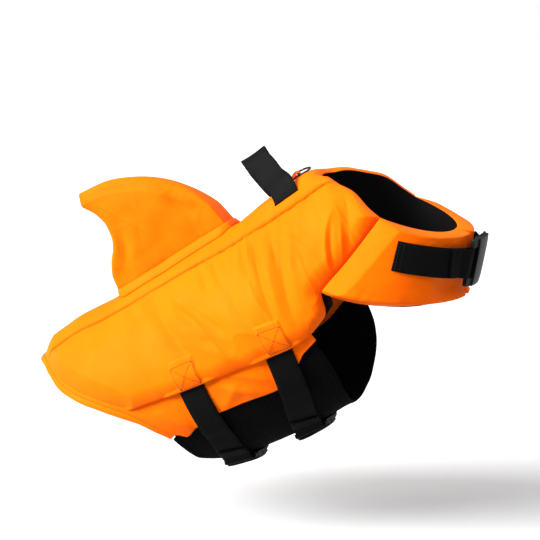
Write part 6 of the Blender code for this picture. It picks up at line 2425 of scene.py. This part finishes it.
@dataclass(frozen=True)
class BellyStrap:
    """A pair of belly straps with their buckle, from side panel to side panel."""

    place: str
    number: int
    cuts: tuple[Cut, Cut]
    pattern: Pattern = Pattern()
    mesh_top: float = 2.8
    mouth: float = 183.0
    leaves_flap: float = 123.0
    reaches_mesh: float = 132.0
    half: float = 16.8
    stretch: float = 0.8

    def course(self) -> tuple[Course, Array]:
        """The straps' course and the angle at each of its points."""
        trunk, lines = self.pattern.trunk, self.pattern.straps.centres
        right = np.linspace(80, 180, 401)
        angle = np.concatenate([right, 360 - right[-2::-1]])
        along = read(lines, np.minimum(angle, 360 - angle), self.number)
        mouth = trunk.point(read(lines, 360 - self.mouth, self.number), self.mouth)
        return Course.through(trunk.point(along, angle), trunk.normal(along, angle), mouth), angle

    def build(self, wardrobe: Wardrobe) -> None:
        """Lays both straps and their buckle."""
        pattern = self.pattern
        lines = pattern.straps
        course, angle = self.course()
        low = self.mesh_top + StrapEnd.clear + Webbing.thickness / 2
        on_flap = ease(np.minimum(angle, 360 - angle), self.reaches_mesh, self.leaves_flap)
        heights = (course.stations, low + (lines.over_flap - low) * on_flap)
        leaves = read(lines.centres, np.float64(lines.leaves_pocket), self.number)
        tuck = pattern.seams.lower_angle(leaves) - lines.tuck / pattern.seams.mm_per_degree
        buckle = Buckle(f"belly_buckle_{self.place}", course, self.mesh_top, self.half, self.stretch)
        ways = (("right", tuck, -1), ("left", 360 - tuck, 1))
        for (side, start, outwards), bar, cut in zip(ways, buckle.bars(), self.cuts):
            begin = float(np.interp(start, angle, course.stations))
            rests = (f"lower_flap_{side}_cloth", "belly_panel_cloth")
            name = f"belly_strap_{self.place}_{side}"
            Strap(name, course, begin, bar, outwards, self.mesh_top, heights, cut, rests).build(wardrobe)
        buckle.build(wardrobe)


@dataclass(frozen=True)
class ChestStrap:
    """The pair of chest straps with their buckle, sewn to the chest panels."""

    form: ChestForm = ChestForm()
    cuts: tuple[Cut, Cut] = (Cut.webbing(114), Cut.webbing(113))
    over: float = 17.3
    end: float = 0.265
    mouth_left: float = 7.0
    roll: float = 14.0
    lift: float = -2.6
    half: float = 22.5
    sewn_at: Place = (2.5, 6.5)
    # ahead, down
    line: Table = ((0.2, 0.35), (0.45, 0.37), (0.7, 0.41), (0.9, 0.43), (1, 0.43))

    def course(self) -> Course:
        """The straps' course, rolled near the buckle, which tips towards the chest at its top."""
        right = np.linspace(0.2, 1, 100)
        down = read(self.line, right, 1)
        mirror = np.array([1.0, -1.0, 1.0])
        points, normals = self.form.over(down, right, self.over), self.form.normal(down, right)
        centre = np.concatenate([points, points[-2::-1] * mirror])
        normal = np.concatenate([normals, normals[-2::-1] * mirror])
        flat = Course.through(centre, normal, centre[np.argmin(np.abs(centre[:, 1] - self.mouth_left))])
        middle = (Buckle.plug_length - Buckle.socket_length) / 2
        share = ease(np.abs(flat.stations - middle), 52, 26)[:, None]
        roll = math.radians(self.roll) * share
        across = np.cos(roll) * flat.across + np.sin(roll) * flat.normal
        normal = np.cos(roll) * flat.normal - np.sin(roll) * flat.across
        return Course(flat.stations, flat.centre + self.lift * share * flat.normal, across, normal)

    def build(self, wardrobe: Wardrobe) -> None:
        """Lays both straps, sews their ends and builds the buckle."""
        course = self.course()
        end = self.form.over(read(self.line, np.float64(self.end), 1), np.float64(self.end), self.over)
        buckle = Buckle("chest_buckle", course, 0.0, self.half, 1.0)
        low, top = StrapEnd.clear + Webbing.thickness / 2, StrapEnd.clear + Webbing.thickness
        heights = (course.stations, np.full(len(course.stations), low))
        rows = []
        ways = (("right", Side.RIGHT, -1), ("left", Side.LEFT, 1))
        for (side, where, outwards), bar, cut in zip(ways, buckle.bars(), self.cuts):
            nearest_row = np.argmin(np.linalg.norm(course.centre - where.points(end), axis=1))
            begin = float(course.stations[nearest_row])
            rests = (f"chest_panel_{side}_cover",)
            strap = Strap(f"chest_strap_{side}", course, begin, bar, outwards, 0.0, heights, cut, rests)
            strap.build(wardrobe)
            rows += [strap.across_row(begin - outwards * off, top) for off in self.sewn_at]
        Thread(BLACK_THREAD, pitch=2.4).sew("chest_strap_end_sewing", rows, wardrobe)
        buckle.build(wardrobe)


# ---- Sewing ------------------------------------------------------------------------------------


@dataclass(frozen=True)
class Sewing:
    """Rows of thread that show on the cloth."""

    pattern: Pattern = Pattern()
    patch_span: Place = (0.01, 0.99)
    # The row behind the shoulder seam: where it runs, and how far from the seam.
    shoulder_span: Place = (312.5, 387.0)
    behind_seam: float = 2.0
    # The row on a chest panel: where it runs, and how far above the lower edge.
    corner_span: Place = (0.02, 0.26)
    above_edge: float = 2.4

    def on_panel(self, panel: SidePanel, along: Array, angle: Array) -> Row:
        """A line on a side panel's outer face, with the directions out of it."""
        trunk = self.pattern.trunk
        line = trunk.over(along, angle, panel.outside(along, angle))
        return panel.side.points(line), panel.side.points(trunk.normal(along, angle))

    def patches(self, panel: SidePanel) -> list[Row]:
        """The boxes with crossed diagonals that hold the hidden strap ends."""
        rows = []
        for anchor in panel.anchors:
            for corners in anchor.lines():
                for start, end in zip(corners[:-1], corners[1:]):
                    share = np.linspace(*self.patch_span, 26)
                    along, angle = (start[k] + share * (end[k] - start[k]) for k in range(2))
                    rows.append(self.on_panel(panel, along, angle))
        return rows

    def shoulder(self, panel: SidePanel) -> Row:
        """The row just behind the shoulder seam."""
        seams = self.pattern.seams
        along = np.linspace(*self.shoulder_span, 120)
        return self.on_panel(panel, along, seams.lower_angle(along) - self.behind_seam / seams.mm_per_degree)

    def chest_corner(self, panel: ChestPanel) -> Row:
        """The row along a chest panel's lower edge, from the shoulder seam on."""
        form = panel.form
        ahead = np.linspace(*self.corner_span, 60)
        down = 1 - self.above_edge / form.depth + 0 * ahead
        row_length = form.row_length(down[:, None])[:, 0]
        height = panel.outside(down, ahead, row_length)
        return panel.side.points(form.over(down, ahead, height)), panel.side.points(form.normal(down, ahead))

    def build(
        self, panels: list[SidePanel], chests: list[ChestPanel], hems: list[RearHem], wardrobe: Wardrobe
    ) -> None:
        """Sews every row, one piece for each side and colour."""
        for panel, chest, hem in zip(panels, chests, hems):
            side = panel.side.value
            brown = [*self.patches(panel), self.shoulder(panel), self.chest_corner(chest)]
            Thread(BROWN_THREAD).sew(f"brown_sewing_{side}", brown, wardrobe)
            Thread(ORANGE_THREAD, pitch=2.6).sew(f"hem_sewing_{side}", [hem.stitch_line()], wardrobe)


# ---- Studio ------------------------------------------------------------------------------------


@dataclass(frozen=True)
class Studio:
    """A pale floor, three lights and a white world round the jacket, with the camera."""

    camera_at: Corner = (0.61633378, -1.54953952, 0.33283588)
    camera_to: Corner = (0.04760527, 0.01302922, -0.020614)
    lens: float = 119.3
    floor_height: float = -0.272
    floor_reach: float = 6.0
    # The floor's grey as it lights the jacket, and as the camera sees it.
    floor_lit: Colour = (0.4, 0.4, 0.4, 1.0)
    floor_seen: Colour = (0.62, 0.62, 0.62, 1.0)
    world: float = 0.2
    # name, place that it comes from, how wide it looks from the jacket in degrees, strength
    lights: tuple[tuple[str, Corner, float, float], ...] = (
        ("key", (-1.62, -1.2, 1.03), 26.0, 8.1),
        ("top", (-0.3, -0.8, 1.5), 60.0, 1.8),
        ("fill", (0.9, 0.9, 1.3), 70.0, 1.7),
    )

    def camera(self) -> None:
        """Sets the camera."""
        data = bpy.data.cameras.new("camera")
        data.lens = self.lens
        data.sensor_width = 36.0
        made = linked("camera", data)
        made.location = self.camera_at
        away = Vector(self.camera_to) - Vector(self.camera_at)
        made.rotation_euler = away.to_track_quat("-Z", "Y").to_euler()
        bpy.context.scene.camera = made

    def light(self, name: str, place: Corner, spread: float, strength: float) -> None:
        """Adds an even light from one side."""
        data = bpy.data.lights.new(name, "SUN")
        data.energy = strength
        data.angle = math.radians(spread)
        made = linked(name, data)
        made.location = place
        made.rotation_euler = (-Vector(place)).to_track_quat("-Z", "Y").to_euler()

    def floor(self) -> None:
        """Lays a pale floor."""
        mesh = bpy.data.meshes.new("floor")
        reach, low = self.floor_reach, self.floor_height
        corners = [(x * reach, y * reach, low) for x, y in ((-1, -1), (1, -1), (1, 1), (-1, 1))]
        mesh.from_pydata(corners, [], [(0, 1, 2, 3)])
        pale = bpy.data.materials.new("pale_floor")
        pale.use_nodes = True
        shader = pale.node_tree.nodes["Principled BSDF"]
        graph = Graph(pale.node_tree)
        seen = graph.node("ShaderNodeLightPath").outputs["Is Camera Ray"]
        colour = graph.mix(seen, self.floor_lit, self.floor_seen)
        graph.settle(shader, {"Base Color": colour, "Roughness": 0.9, "Specular IOR Level": 0.0})
        mesh.materials.append(pale)
        linked("floor", mesh)

    def build(self) -> None:
        """Sets camera, floor, lights and a white world."""
        scene = bpy.context.scene
        scene.view_settings.view_transform = "Standard"
        self.camera()
        self.floor()
        self.sky()
        for light in self.lights:
            self.light(*light)

    def sky(self) -> None:
        """A world that is white to the camera and gives a softer, even light."""
        world = bpy.data.worlds.new("white")
        world.use_nodes = True
        graph = Graph(world.node_tree)
        background = world.node_tree.nodes["Background"]
        background.inputs["Color"].default_value = (1.0, 1.0, 1.0, 1.0)
        seen = graph.node("ShaderNodeLightPath").outputs["Is Camera Ray"]
        graph.feed(background.inputs["Strength"], graph.ramp(seen, 0, 1, self.world, 1.0))
        bpy.context.scene.world = world


def main() -> None:
    """Builds the jacket's pieces in order, from the inside out."""
    logging.basicConfig(level=logging.INFO, format="%(message)s")
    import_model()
    wardrobe = Wardrobe()
    Studio().build()
    strip = SpineStrip()
    panels, chests, hems = ([kind(side) for side in Side] for kind in (SidePanel, ChestPanel, RearHem))
    for piece in (strip, *panels, *chests, *hems):
        piece.build(wardrobe)
    for side in Side:
        for kind in (LowerFlap, ArmholeLining, ChestLining):
            kind(side).build(wardrobe)
    rear = BellyStrap("rear", 1, (Cut.webbing(168), Cut.webbing(172)))
    front = BellyStrap("front", 2, (Cut.webbing(170), Cut.webbing(173)))
    on_strip = (kind(strip) for kind in (FinBase, Fin, Handle))
    for piece in (BellyPanel(), *on_strip, RingTab(), LeashRing(), rear, front, ChestStrap()):
        piece.build(wardrobe)
    Sewing().build(panels, chests, hems, wardrobe)


if __name__ == "__main__":
    main()
